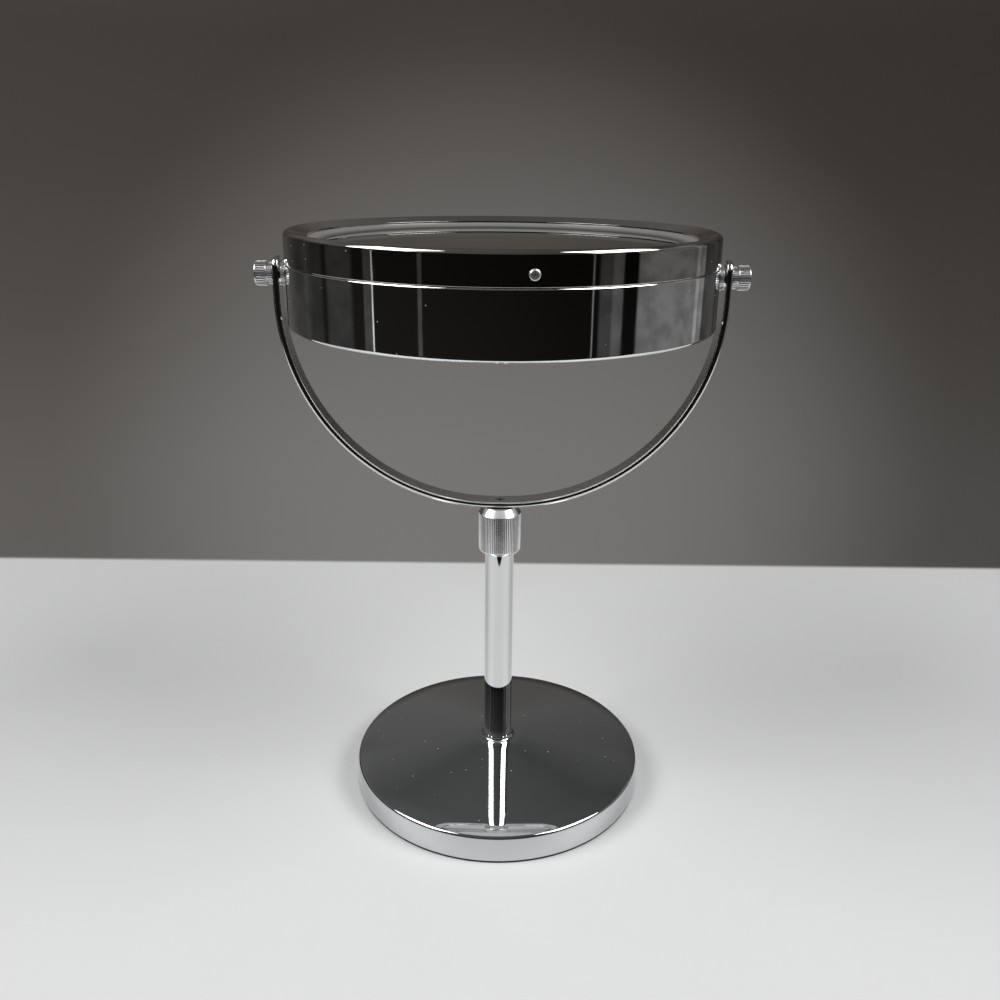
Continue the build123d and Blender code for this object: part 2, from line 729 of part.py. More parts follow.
# Head: deep rear housing, with its bezel below and a spigot that centres the front ring
lock_screw_z = ring_top_z - lock_screw_drop
lock_screw_seat_radius = head_radius - lock_screw_seat_depth
tab_outer_radius = spigot_outer_radius - fit_clearance
tab_inner_radius = spigot_inner_radius - lock_tab_backing
lock_screw_length = lock_screw_seat_radius - tab_inner_radius + lock_screw_point
with BuildPart() as rear_housing:
    with BuildSketch(Plane.XZ) as housing_section:
        with BuildLine():
            Polyline(
                (head_radius, seam_z),
                (spigot_outer_radius, seam_z),
                (spigot_outer_radius, spigot_top_z),
                (spigot_inner_radius, spigot_top_z),
                (spigot_inner_radius, spigot_root_z),
                (shell_inner_radius, spigot_root_z - (shell_inner_radius - spigot_inner_radius)),
                (shell_inner_radius, housing_floor_z),
                (opening_radius, housing_floor_z),
                (opening_radius, housing_bottom_z),
                (head_radius, housing_bottom_z),
                close=True,
            )
        make_face()
        fillet(corner(housing_section, head_radius, housing_bottom_z), radius=housing_edge_radius)
        fillet(corner(housing_section, head_radius, seam_z), radius=housing_seam_radius)
        fillet(corner(housing_section, opening_radius, housing_bottom_z), radius=bezel_lip_radius)
    revolve(axis=Axis.Z)
    with BuildSketch(Plane.XY.offset(housing_floor_z)):
        with Locations(*boss_places):
            Circle(ring_boss_radius)
    extrude(amount=chassis_bottom_z - housing_floor_z)
    with BuildSketch(Plane.XY.offset(chassis_bottom_z)):
        with Locations(*boss_places):
            Circle(chassis_screw_diameter / 2 + thread_clearance)
    extrude(amount=chassis_thickness - chassis_screw_length, mode=Mode.SUBTRACT)
    with BuildSketch(pivot_plane(pivot_block_inner_x)):
        Rectangle(pivot_block_width, pivot_block_height)
    extrude(amount=block_outer_x - pivot_block_inner_x)
    with BuildSketch(pivot_plane(-pivot_block_inner_x)):
        Rectangle(pivot_block_width, pivot_block_height)
    extrude(amount=pivot_block_inner_x - block_outer_x)
    for side in (-1, 1):
        with BuildSketch(pivot_plane(side * pivot_seat_x)):
            Circle(pivot_seat_diameter / 2)
        extrude(amount=side * overrun, mode=Mode.SUBTRACT)
    with BuildSketch(pivot_plane(-head_radius - overrun)):
        Circle(pivot_bolt_diameter / 2 + fit_clearance)
    extrude(amount=2 * (head_radius + overrun), mode=Mode.SUBTRACT)
    with BuildSketch(side_plane(switch_azimuth, switch_pad_y, switch_z)):
        Rectangle(switch_pad_length, switch_pad_height)
    extrude(amount=switch_pad_depth + shell_wall / 2)
    with BuildSketch(side_plane(switch_azimuth, switch_pad_y, switch_z)):
        Rectangle(slot_length, slot_height)
    extrude(amount=head_radius - switch_pad_y + overrun, mode=Mode.SUBTRACT)
    with BuildSketch(side_plane(switch_azimuth, switch_pad_y, switch_z)):
        with GridLocations(switch_screw_spacing, 0, 2, 1):
            Circle(switch_screw_diameter / 2 + thread_clearance)
    extrude(amount=switch_screw_length - switch_flange_thickness, mode=Mode.SUBTRACT)
    with BuildSketch(radial_plane(lock_screw_azimuth - lock_tab_sweep / 2)):
        with BuildLine():
            Polyline(
                (tab_inner_radius, spigot_root_z),
                (tab_outer_radius, spigot_root_z),
                (tab_outer_radius, lock_screw_z + lock_tab_margin),
                (tab_inner_radius, lock_screw_z + lock_tab_margin),
                close=True,
            )
        make_face()
    revolve(axis=Axis.Z, revolution_arc=lock_tab_sweep)
    with BuildSketch(side_plane(lock_screw_azimuth, tab_inner_radius - overrun, lock_screw_z)):
        Circle(lock_screw_diameter / 2 + thread_clearance)
    extrude(amount=head_radius - tab_inner_radius + overrun, mode=Mode.SUBTRACT)
write(rear_housing, "rear_housing")

# Front ring: bezel of the lit side, screwed to the housing's tab
with BuildPart() as front_ring:
    with BuildSketch(Plane.XZ) as ring_section:
        with BuildLine():
            Polyline(
                (head_radius, seam_z),
                (head_radius, bezel_z(head_radius)),
                (opening_radius, bezel_z(opening_radius)),
                (opening_radius, bezel_z(opening_radius, bezel_thickness)),
                (shell_inner_radius, bezel_z(shell_inner_radius, bezel_thickness)),
                (shell_inner_radius, seam_z),
                close=True,
            )
        make_face()
        fillet(corner(ring_section, head_radius, bezel_z(head_radius)), radius=ring_edge_radius)
        fillet(corner(ring_section, head_radius, seam_z), radius=ring_seam_radius)
        fillet(corner(ring_section, opening_radius, bezel_z(opening_radius)), radius=bezel_lip_radius)
    revolve(axis=Axis.Z)
    with BuildSketch(Plane.XY.offset(ear_top_z)):
        with Locations(*ear_places):
            Circle(ring_boss_radius)
    extrude(amount=bezel_z(ear_circle_radius, bezel_thickness / 2) - ear_top_z)
    with BuildSketch(Plane.XY.offset(ear_top_z)):
        with Locations(*ear_places):
            Circle(tray_screw_diameter / 2 + thread_clearance)
    extrude(amount=tray_screw_length - ear_thickness, mode=Mode.SUBTRACT)
    with BuildSketch(side_plane(lock_screw_azimuth, shell_inner_radius - overrun, lock_screw_z)):
        Circle(lock_screw_diameter / 2 + loose_clearance)
    extrude(amount=shell_wall + 2 * overrun, mode=Mode.SUBTRACT)
    with BuildSketch(side_plane(lock_screw_azimuth, lock_screw_seat_radius, lock_screw_z)):
        Circle(lock_screw_head_diameter / 2 + loose_clearance)
    extrude(amount=overrun, mode=Mode.SUBTRACT)
write(front_ring, "front_ring")

head_face = side_plane(lock_screw_azimuth, lock_screw_seat_radius + lock_screw_head_height, lock_screw_z)
with BuildPart() as ring_lock_screw:
    with BuildSketch(side_plane(lock_screw_azimuth, lock_screw_seat_radius, lock_screw_z)):
        Circle(lock_screw_head_diameter / 2)
    extrude(amount=lock_screw_head_height)
    head_rim = ring_lock_screw.faces().sort_by_distance(head_face.origin)[0].edges()
    fillet(head_rim, radius=lock_screw_head_round)
    with BuildSketch(side_plane(lock_screw_azimuth, lock_screw_seat_radius, lock_screw_z)):
        Circle(lock_screw_diameter / 2)
    extrude(amount=-lock_screw_length)
    with BuildSketch(head_face):
        Rectangle(lock_screw_recess_length, lock_screw_recess_width)
        Rectangle(lock_screw_recess_width, lock_screw_recess_length)
    extrude(amount=-lock_screw_recess_depth, mode=Mode.SUBTRACT)
write(ring_lock_screw, "ring_lock_screw")

# Lit side: glass, frosted ring, tape, tray with its lamp channel, board and lamps
with BuildPart() as front_mirror:
    with BuildSketch(Plane.XY.offset(glass_bottom_z)):
        Circle(front_mirror_radius)
    extrude(amount=glass_thickness)
    chamfer(front_mirror.faces().sort_by(Axis.Z)[-1].edges(), length=glass_edge_chamfer)
write(front_mirror, "front_mirror")

ring_inner_radius = front_mirror_radius + glass_gap
ring_outer_radius = opening_radius - glass_gap
with BuildPart() as light_diffuser:
    with BuildSketch(Plane.XZ):
        with BuildLine():
            Polyline(
                (ring_inner_radius, bezel_z(ring_inner_radius, light_ring_underside)),
                (ring_inner_radius, bezel_z(ring_inner_radius, light_ring_inset)),
                (ring_outer_radius, bezel_z(ring_outer_radius, light_ring_inset)),
                (ring_outer_radius, bezel_z(ring_outer_radius, bezel_thickness)),
                (rim_radius, bezel_z(rim_radius, bezel_thickness)),
                (rim_radius, bezel_z(rim_radius, light_ring_underside)),
                close=True,
            )
        make_face()
    revolve(axis=Axis.Z)
write(light_diffuser, "light_diffuser")

with BuildPart() as front_mirror_tape:
    with BuildSketch(Plane.XY.offset(plateau_top_z)):
        Circle(front_tape_outer_radius)
        Circle(front_tape_inner_radius, mode=Mode.SUBTRACT)
    extrude(amount=tape_thickness)
write(front_mirror_tape, "front_mirror_tape")

lead_holes = [(-lead_bend_x, switch_lead_y), (-lead_exit_x, battery_lead_y)]
with BuildPart() as lamp_tray:
    with BuildSketch(Plane.XZ):
        with BuildLine():
            Polyline(
                (0, plateau_bottom_z),
                (front_mirror_radius, plateau_bottom_z),
                (front_mirror_radius, tray_bottom_z),
                (rim_radius, tray_bottom_z),
                (rim_radius, bezel_z(rim_radius, light_ring_underside)),
                (channel_outer_radius, bezel_z(channel_outer_radius, light_ring_underside)),
                (channel_outer_radius, channel_floor_z),
                (channel_inner_radius, channel_floor_z),
                (channel_inner_radius, bezel_z(channel_inner_radius, light_ring_underside)),
                (ring_inner_radius, bezel_z(ring_inner_radius, light_ring_underside)),
                (ring_inner_radius, glass_bottom_z),
                (ledge_inner_radius, glass_bottom_z),
                (ledge_inner_radius, plateau_top_z),
                (0, plateau_top_z),
                close=True,
            )
        make_face()
    revolve(axis=Axis.Z)
    with BuildSketch(Plane.XY.offset(ear_bottom_z)):
        with PolarLocations(ear_circle_radius, ear_count, start_angle=ear_first_azimuth):
            Circle(ear_radius)
            Rectangle(ear_reach, 2 * ear_radius, align=(Align.MAX, Align.CENTER))
        Circle(rim_radius - fit_clearance, mode=Mode.SUBTRACT)
    extrude(amount=ear_thickness)
    with BuildSketch(Plane.XY.offset(ear_bottom_z - overrun)):
        with Locations(*ear_places):
            Circle(tray_screw_diameter / 2 + fit_clearance)
    extrude(amount=ear_thickness + 2 * overrun, mode=Mode.SUBTRACT)
    with BuildSketch(Plane.XY.offset(tray_bottom_z - overrun)):
        with Locations(*lead_holes):
            Circle(lead_hole_radius)
    extrude(amount=tray_wall + 2 * overrun, mode=Mode.SUBTRACT)
write(lamp_tray, "lamp_tray")

tray_screws = headed_screws(
    ear_places,
    ear_bottom_z,
    1,
    tray_screw_diameter,
    tray_screw_length,
    tray_screw_head_diameter,
    tray_screw_head_height,
)
write(tray_screws, "tray_screws")

with BuildPart() as led_board:
    with BuildSketch(Plane.XY.offset(channel_floor_z)):
        Circle(channel_outer_radius - led_board_margin)
        Circle(channel_inner_radius + led_board_margin, mode=Mode.SUBTRACT)
    extrude(amount=led_board_thickness)
write(led_board, "led_board")

with BuildPart() as leds:
    with BuildSketch(Plane.XY.offset(channel_floor_z + led_board_thickness)):
        with PolarLocations(led_circle_radius, led_count):
            Rectangle(led_width, led_length)
    extrude(amount=led_height)
write(leds, "leds")

# Magnifying side: hollowed glass on a tape ring, and the chassis plate behind it
rear_mirror_back_z = rear_mirror_front_z + rear_mirror_thickness
arc_middle_radius = rear_mirror_arc_radius / 2
arc_radius = (rear_mirror_arc_radius**2 + rear_mirror_sag**2) / (2 * rear_mirror_sag)
arc_middle_rise = rear_mirror_sag - (arc_radius - sqrt(arc_radius**2 - arc_middle_radius**2))
with BuildPart() as rear_mirror:
    with BuildSketch(Plane.XZ):
        with BuildLine():
            ThreePointArc(
                (0, rear_mirror_front_z + rear_mirror_sag),
                (arc_middle_radius, rear_mirror_front_z + arc_middle_rise),
                (rear_mirror_arc_radius, rear_mirror_front_z),
            )
            Polyline(
                (rear_mirror_arc_radius, rear_mirror_front_z),
                (rim_radius, rear_mirror_front_z),
                (rim_radius, rear_mirror_back_z),
                (rear_mirror_arc_radius, rear_mirror_back_z),
            )
            ThreePointArc(
                (rear_mirror_arc_radius, rear_mirror_back_z),
                (arc_middle_radius, rear_mirror_back_z + arc_middle_rise),
                (0, rear_mirror_back_z + rear_mirror_sag),
            )
            Line((0, rear_mirror_back_z + rear_mirror_sag), (0, rear_mirror_front_z + rear_mirror_sag))
        make_face()
    revolve(axis=Axis.Z)
write(rear_mirror, "rear_mirror")

with BuildPart() as rear_mirror_tape:
    with BuildSketch(Plane.XY.offset(housing_floor_z)):
        Circle(rim_radius - rear_tape_inset)
        Circle(opening_radius + rear_tape_inset, mode=Mode.SUBTRACT)
    extrude(amount=rear_tape_thickness)
write(rear_mirror_tape, "rear_mirror_tape")

notch_inner_x = pivot_block_inner_x - pivot_bolt_head_height - chassis_notch_clearance
notch_width = pivot_block_width + 2 * chassis_notch_clearance
switch_notch_y = switch_back_y - chassis_notch_clearance
switch_notch_length = switch_pad_length + 2 * chassis_notch_clearance
with BuildPart() as rear_chassis:
    with BuildSketch(Plane.XY.offset(chassis_bottom_z)):
        Circle(chassis_radius)
    extrude(amount=chassis_thickness)
    with BuildSketch(Plane.XY.offset(chassis_bottom_z)):
        Circle(rear_mirror_arc_radius)
        Circle(rear_mirror_arc_radius - chassis_thickness, mode=Mode.SUBTRACT)
    extrude(amount=-chassis_rim_height)
    with BuildSketch(Plane.XY.offset(chassis_bottom_z - chassis_rim_height)):
        for side in (-1, 1):
            with Locations((side * (notch_inner_x + head_radius) / 2, 0)):
                Rectangle(head_radius - notch_inner_x, notch_width)
        with Locations((0, (switch_notch_y + head_radius) / 2)):
            Rectangle(switch_notch_length, head_radius - switch_notch_y)
    extrude(amount=chassis_rim_height + chassis_thickness, mode=Mode.SUBTRACT)
    with BuildSketch(Plane.XY.offset(chassis_bottom_z - overrun)):
        with Locations(*boss_places):
            Circle(chassis_screw_diameter / 2 + fit_clearance)
        with Locations(*box_foot_places):
            Circle(box_screw_diameter / 2 + thread_clearance)
    extrude(amount=chassis_thickness + 2 * overrun, mode=Mode.SUBTRACT)
write(rear_chassis, "rear_chassis")

chassis_screws = headed_screws(
    boss_places,
    chassis_top_z,
    -1,
    chassis_screw_diameter,
    chassis_screw_length,
    chassis_screw_head_diameter,
    chassis_screw_head_height,
)
write(chassis_screws, "chassis_screws")

# Batteries: open box with half-round bays, two screwed feet, cells and contacts
cell_places = [(index - (cell_count - 1) / 2) * cell_pitch for index in range(cell_count)]
bay_start_y = -bay_length / 2
with BuildPart() as battery_box:
    with BuildSketch(Plane.XY.offset(chassis_top_z)):
        Rectangle(box_width, box_length)
    extrude(amount=box_height)
    with BuildSketch(Plane.XY.offset(chassis_top_z)):
        with Locations(*box_foot_places):
            Rectangle(box_foot_length, box_foot_length)
    extrude(amount=box_foot_thickness)
    with BuildSketch(Plane.XZ.offset(-bay_start_y)):
        for x in cell_places:
            with Locations((x, cell_axis_z)):
                Circle(channel_radius)
                Rectangle(2 * channel_radius, box_height, align=(Align.CENTER, Align.MIN))
    extrude(amount=-bay_length, mode=Mode.SUBTRACT)
    with BuildSketch(Plane.XY.offset(chassis_top_z)):
        with Locations(*box_foot_places):
            Circle(box_screw_diameter / 2 + fit_clearance)
    extrude(amount=box_foot_thickness, mode=Mode.SUBTRACT)
write(battery_box, "battery_box")

battery_box_screws = headed_screws(
    box_foot_places,
    chassis_top_z + box_foot_thickness,
    -1,
    box_screw_diameter,
    box_foot_thickness + chassis_thickness,
    box_screw_head_diameter,
    box_screw_head_height,
)
write(battery_box_screws, "battery_box_screws")


def bay_plane(x, index, distance):
    """Plane square to a battery bay, a distance in from the end where that cell's nub points."""
    turn = 1 if index % 2 == 0 else -1
    return Plane(
        origin=(x, turn * (bay_start_y + distance), cell_axis_z), x_dir=(turn, 0, 0), z_dir=(0, turn, 0)
    )


with BuildPart() as battery_cells:
    for index, x in enumerate(cell_places):
        with BuildSketch(bay_plane(x, index, contact_thickness)):
            Circle(cell_nub_diameter / 2)
        extrude(amount=cell_nub_height)
        with BuildSketch(bay_plane(x, index, contact_thickness + cell_nub_height)):
            Circle(cell_radius)
        extrude(amount=cell_length - cell_nub_height)
    cell_rims = battery_cells.edges().filter_by(GeomType.CIRCLE).group_by(SortBy.RADIUS)[-1]
    fillet(cell_rims, radius=cell_edge_radius)
write(battery_cells, "battery_cells")

contact_half = contact_width / 2
contact_reach = contact_spring_depth + contact_thickness
with BuildPart() as battery_contacts:
    for index, x in enumerate(cell_places):
        with BuildSketch(bay_plane(x, index, 0)):
            Rectangle(contact_width, contact_height)
        extrude(amount=contact_thickness)
        spring_plane = bay_plane(x, index, bay_length)
        with BuildSketch(Plane(spring_plane.origin, x_dir=spring_plane.x_dir, z_dir=(0, 0, 1))):
            with BuildLine():
                ThreePointArc((-contact_half, 0), (0, -contact_reach), (contact_half, 0))
                Line((contact_half, 0), (contact_half - contact_thickness, 0))
                ThreePointArc(
                    (contact_half - contact_thickness, 0),
                    (0, -contact_spring_depth),
                    (contact_thickness - contact_half, 0),
                )
                Line((contact_thickness - contact_half, 0), (-contact_half, 0))
            make_face()
        extrude(amount=contact_height / 2, both=True)
write(battery_contacts, "battery_contacts")

# Switch: body screwed to a flat pad inside the housing, slider through a slot in the wall
with BuildPart() as switch_body:
    with BuildSketch(side_plane(switch_azimuth, flange_back_y, switch_z)):
        Rectangle(switch_flange_length, switch_body_height)
    extrude(amount=switch_flange_thickness)
    with BuildSketch(side_plane(switch_azimuth, switch_back_y, switch_z)):
        Rectangle(switch_body_length, switch_body_height)
    extrude(amount=switch_body_depth)
    with BuildSketch(side_plane(switch_azimuth, switch_pad_y, switch_z)):
        Rectangle(slot_length, slot_height)
    extrude(amount=-switch_flange_thickness - slider_foot_depth - loose_clearance, mode=Mode.SUBTRACT)
    with BuildSketch(side_plane(switch_azimuth, flange_back_y, switch_z)):
        with GridLocations(switch_screw_spacing, 0, 2, 1):
            Circle(switch_screw_diameter / 2 + fit_clearance)
    extrude(amount=switch_flange_thickness, mode=Mode.SUBTRACT)
write(switch_body, "switch_body")

slider_foot_y = flange_back_y - slider_foot_depth
slider_end_y = head_radius + slider_reach
with BuildPart() as switch_slider:
    with BuildSketch(Plane.XZ.offset(-slider_foot_y)):
        with Locations((slider_rest_x, switch_z)):
            Rectangle(slider_length, slider_height)
    extrude(amount=slider_foot_y - slider_end_y)
    with BuildSketch(Plane.XY.offset(switch_z - slider_height)):
        with Locations((slider_rest_x, slider_end_y)):
            with GridLocations(slider_ridge_pitch, 0, slider_ridge_count, 1):
                RegularPolygon(radius=slider_ridge_depth, side_count=4)
    extrude(amount=2 * slider_height, mode=Mode.SUBTRACT)
write(switch_slider, "switch_slider")

with BuildPart() as switch_screws:
    with BuildSketch(side_plane(switch_azimuth, flange_back_y, switch_z)):
        with GridLocations(switch_screw_spacing, 0, 2, 1):
            Circle(switch_screw_head_diameter / 2)
    extrude(amount=-switch_screw_head_height)
    with BuildSketch(side_plane(switch_azimuth, flange_back_y, switch_z)):
        with GridLocations(switch_screw_spacing, 0, 2, 1):
            Circle(switch_screw_diameter / 2)
    extrude(amount=switch_screw_length)
write(switch_screws, "switch_screws")

# Leads: battery to switch, switch to lamp board, battery to lamp board
lead_routes = [
    [
        (lead_exit_x, lead_box_y, switch_z),
        (lead_exit_x, lead_box_y + lead_corner_distance, switch_z),
        (lead_bend_x, switch_back_y - lead_corner_distance, switch_z),
        (lead_bend_x, switch_back_y, switch_z),
    ],
    [
        (-lead_bend_x, switch_back_y, switch_z),
        (-lead_bend_x, switch_lead_y, switch_z),
        (-lead_bend_x, switch_lead_y, channel_floor_z),
    ],
    [
        (-lead_exit_x, lead_box_y, switch_z),
        (-lead_exit_x, battery_lead_y, switch_z),
        (-lead_exit_x, battery_lead_y, channel_floor_z),
    ],
]
with BuildPart() as lead_wires:
    for route in lead_routes:
        points = [Vector(*place) for place in route]
        runs = [(end - start).length for start, end in zip(points, points[1:])]
        bend_radius = min(lead_bend_radius, lead_bend_share * min(runs))
        with BuildLine() as lead_path:
            FilletPolyline(*points, radius=bend_radius)
        with BuildSketch(Plane(points[0], z_dir=points[1] - points[0])):
            Circle(lead_radius)
        sweep(path=lead_path.line)
write(lead_wires, "lead_wires")
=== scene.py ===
"""Lighted makeup mirror: fine plated shells, finishes, floor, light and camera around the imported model."""

import json
from math import atan, cos, pi, radians, sin, tan

import bmesh
import bpy
from mathutils import Matrix, Vector


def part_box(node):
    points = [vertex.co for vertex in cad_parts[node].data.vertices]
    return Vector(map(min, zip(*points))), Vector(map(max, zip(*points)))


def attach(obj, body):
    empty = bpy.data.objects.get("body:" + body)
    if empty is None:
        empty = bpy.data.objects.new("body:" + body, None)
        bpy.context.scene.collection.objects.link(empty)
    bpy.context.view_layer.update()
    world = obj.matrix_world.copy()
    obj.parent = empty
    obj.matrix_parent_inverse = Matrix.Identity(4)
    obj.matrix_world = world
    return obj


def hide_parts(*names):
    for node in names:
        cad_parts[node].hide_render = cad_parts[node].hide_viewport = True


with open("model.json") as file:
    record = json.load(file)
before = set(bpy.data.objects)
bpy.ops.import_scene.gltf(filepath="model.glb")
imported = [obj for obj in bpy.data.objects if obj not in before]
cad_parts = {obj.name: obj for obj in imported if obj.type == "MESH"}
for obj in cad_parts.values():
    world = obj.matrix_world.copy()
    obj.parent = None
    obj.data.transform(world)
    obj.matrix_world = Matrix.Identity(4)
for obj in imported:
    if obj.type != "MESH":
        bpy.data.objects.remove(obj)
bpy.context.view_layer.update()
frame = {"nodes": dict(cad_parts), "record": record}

scene = bpy.context.scene
scene.view_settings.view_transform = "Standard"

# Camera, as the photograph was taken: metres and degrees, with the lens and sensor in millimetres
camera_distance = 0.4567
camera_height = 0.3282
camera_pitch = 19.98
camera_roll = 0.62
camera_lens = 34.27
camera_sensor = 36.0
camera_clip = 0.01

# Floor: its half size, how far it is pale to each side, behind and in front, and how it fades: metres
floor_half_size = 1.5
floor_pale_x = 0.55
floor_pale_back = 0.284
floor_pale_front = 0.293
floor_fade = 0.008
floor_fade_x = 0.3
floor_rough = 0.42
floor_cloud_scale = 9
floor_levels = (0.76, 0.8)
floor_tint = -0.004

# Soft boxes: two like panels to the left and right of the camera's side, in degrees, metres and watts
box_azimuth = 68.0
box_elevation = 45.0
box_distance = 1.5
box_width = 0.94
box_height = 0.78
box_power = 15.8

# Room by height, from straight down to straight up: the direction's Z, its grey level and its warmth
room_levels = [
    (-1.0, 0.07, 0.0),
    (-0.42, 0.118, 0.05),
    (-0.29, 0.108, 0.06),
    (-0.15, 0.076, 0.09),
    (0.0, 0.056, 0.13),
    (0.1, 0.05, 0.15),
    (0.16, 0.056, 0.13),
    (0.36, 0.13, 0.03),
    (0.55, 0.115, 0.01),
    (0.7, 0.076, 0.0),
    (0.8, 0.097, 0.0),
    (1.0, 0.105, 0.0),
]

# The room that the plating shows is dark on the camera's side up to its ceiling, and a little darker to
# the right. The backdrop, which the camera itself sees, is one plain wall all round, at a share of the
# room's level
room_front_share = 0.08
room_front_y = 0.6
room_back_y = 1.04
room_lean_share = -0.5
ceiling_low_z = 0.2
ceiling_high_z = 0.6
backdrop_share = 0.8

# The square of a direction's level part is never less than this, so that nothing is divided by zero
least_level_square = 0.000001

# A pool of light on the wall behind the yoke: degrees, and its grey level
pool_pitch = -17.0
pool_reach = 26.0
pool_level = 0.085

# Upright cards round the object: degrees from the camera's side towards the right, and their grey level
cards = [
    {"azimuth": -134.0, "half_width": 10.0, "soft": 12.0, "level": 0.028},
    {"azimuth": -112.0, "half_width": 6.0, "soft": 5.0, "level": 0.018},
    {"azimuth": -90.0, "half_width": 7.0, "soft": 4.0, "level": 0.026},
    {"azimuth": -70.0, "half_width": 2.2, "soft": 1.2, "level": 0.04},
    {"azimuth": -67.5, "half_width": 0.25, "soft": 0.25, "level": 0.58},
    {"azimuth": -41.0, "half_width": 0.6, "soft": 0.8, "level": 0.048},
    {"azimuth": 45.5, "half_width": 0.25, "soft": 0.25, "level": 0.16},
    {"azimuth": 55.5, "half_width": 5.5, "soft": 2.0, "level": 0.04},
    {"azimuth": 59.0, "half_width": 2.2, "soft": 1.4, "level": 0.04},
    {"azimuth": 98.0, "half_width": 26.0, "soft": 2.0, "level": 0.14},
    {"azimuth": 117.5, "half_width": 1.3, "soft": 1.0, "level": 0.12},
    {"azimuth": 133.0, "half_width": 8.0, "soft": 6.0, "level": 0.04},
]

# Faint clouds on the cards, flattened by a rise in Z, and the cards' lower and upper ends: directions' Z
card_cloud_scale = 3.5
card_cloud_rise = 9.0
card_cloud_shares = (0.7, 1.25)
card_low_z = -0.45
card_high_z = 0.5
card_end_soft = 0.1

# Head shells, as the solids have them but for finer lips: metres
ring_height = 0.0141
shell_wall = 0.002
bezel_width = 0.0105
bezel_thickness = 0.002
bezel_slope = radians(17.5)
ring_edge_radius = 0.0025
housing_edge_radius = 0.0016
bezel_lip_radius = 0.00015
ring_seam_radius = 0.0005
housing_seam_radius = 0.001
spigot_height = 0.0022
spigot_wall = 0.0016
spigot_root = 0.004
spigot_clearance = 0.00015
glass_chamfer = 0.0003
lock_screw_azimuth = radians(-83.1)
lock_screw_drop = 0.0092
lock_seat_radius = 0.0026
lock_seat_depth = 0.0006
pivot_height = 0.2745
pivot_seat_radius = 0.0055
pivot_seat_depth = 0.0003
window_length = 0.0092
window_height = 0.0034
window_drop = 0.002
window_depth = 4 * shell_wall

# How far a cutter stands out of what it cuts: metres
overrun = 0.002

# Foot cover, as the solid has it: metres
cover_edge_height = 0.015
cover_cone_angle = radians(7.0)
cover_rim_angle = radians(16.0)
cover_shoulder_width = 0.0095
cover_edge_radius = 0.002
cover_wall = 0.0014
cover_land_radius = 0.016
cover_bolt_hole_radius = 0.0043
flare_width = 0.002
flare_height = 0.0019
flare_lip = 0.0004
flare_clearance = 0.00005

# Yoke strap, as the solid has it but for its outer edges, which are rounder: metres
strap_thickness = 0.0033
strap_flat_half = 0.0035
strap_inner_edge_radius = 0.001
strap_outer_edge_radius = 0.0017
screw_head_height = 0.0024
screw_head_radius = 0.00465
screw_shank_radius = 0.00255

# Fineness of the strap's parts and of the turned shells, and the angle from which an edge is shaded sharp
strap_tip_steps = 10
strap_rim_steps = 8
strap_arm_steps = 8
strap_bend_steps = 72
strap_flat_steps = 4
turn_count = 320
arc_steps = 8
sharp_angle = radians(28.0)

# Noise in the finishes: the range where most of it lies. All the scales below count features per metre
noise_low = 0.3
noise_high = 0.7

# Plating: where its marks come up out of the noise, what they do, and the tilt at which satin starts
smudge_scale = 38
smudge_range = (0.5, 0.78)
smudge_cover = 0.5
smudge_shade = 0.93
streak_scale = 420
streak_range = (0.55, 0.8)
streak_share = 0.25
satin_range = (0.5, 0.1)
wave_scale = 55
wave_depth = 0.00002

# Dust on the plating: how far apart its specks may be, their size in metres, and the share left out
dust_spacing = 0.004
dust_size = 0.00032
dust_rarity = 0.8
dust_level = 0.6
dust_rough = 0.8

# Mirror glass: its colours, its smudges and its ground edge
glass_clear = (0.9, 0.92, 0.91, 1)
glass_smudged = (0.85, 0.87, 0.86, 1)
glass_edge = (0.02, 0.03, 0.025, 1)
glass_edge_range = (0.9, 0.75)
glass_edge_rough = 0.5
glass_smudge_scale = 30
glass_smudge_range = (0.52, 0.8)
glass_smudge_cover = 0.4
glass_smudge_rough = 0.03
glass_rough = 0.006

# Frosted ring: pale, with painted shade that darkens it towards the mirror over the shade's width in metres
frost_ior = 1.5
frost_pale = (0.195, 0.215)
frost_painted_shade = 0.05
frost_warmth = 0.03
frost_shade_width = 0.005
frost_rough = (0.36, 0.44)
frost_cloud_scale = 60
frost_tooth_scale = 2600
frost_tooth_depth = 0.00004

# Small and hidden pieces: clouds, grain, pores, tracks and the change of the leads' colour: metres
metal_cloud_scale = 140
metal_grain_scale = 2400
metal_grain_depth = 0.00002
moulded_cloud_scale = 90
foam_cloud_scale = 70
foam_rough = (0.8, 0.95)
pore_range = (0.1, 0.6)
pore_depth_share = 0.3
board_cloud_scale = 200
board_rough = (0.3, 0.45)
track_scale = 260
track_range = (0.1, 0.05)
sleeve_red = (0.5, 0.02, 0.02, 1)
sleeve_black = 0.02
sleeve_change = 0.0005
sleeve_cloud_scale = 300
sleeve_rough = (0.35, 0.5)
jacket_level = 0.04
jacket_end_level = 0.6
jacket_end_range = (0.5, 0.7)
jacket_cloud_scale = 180
jacket_rough = (0.28, 0.4)
lamp_amber = (0.8, 0.55, 0.08, 1)
lamp_yellow = (0.85, 0.65, 0.15, 1)


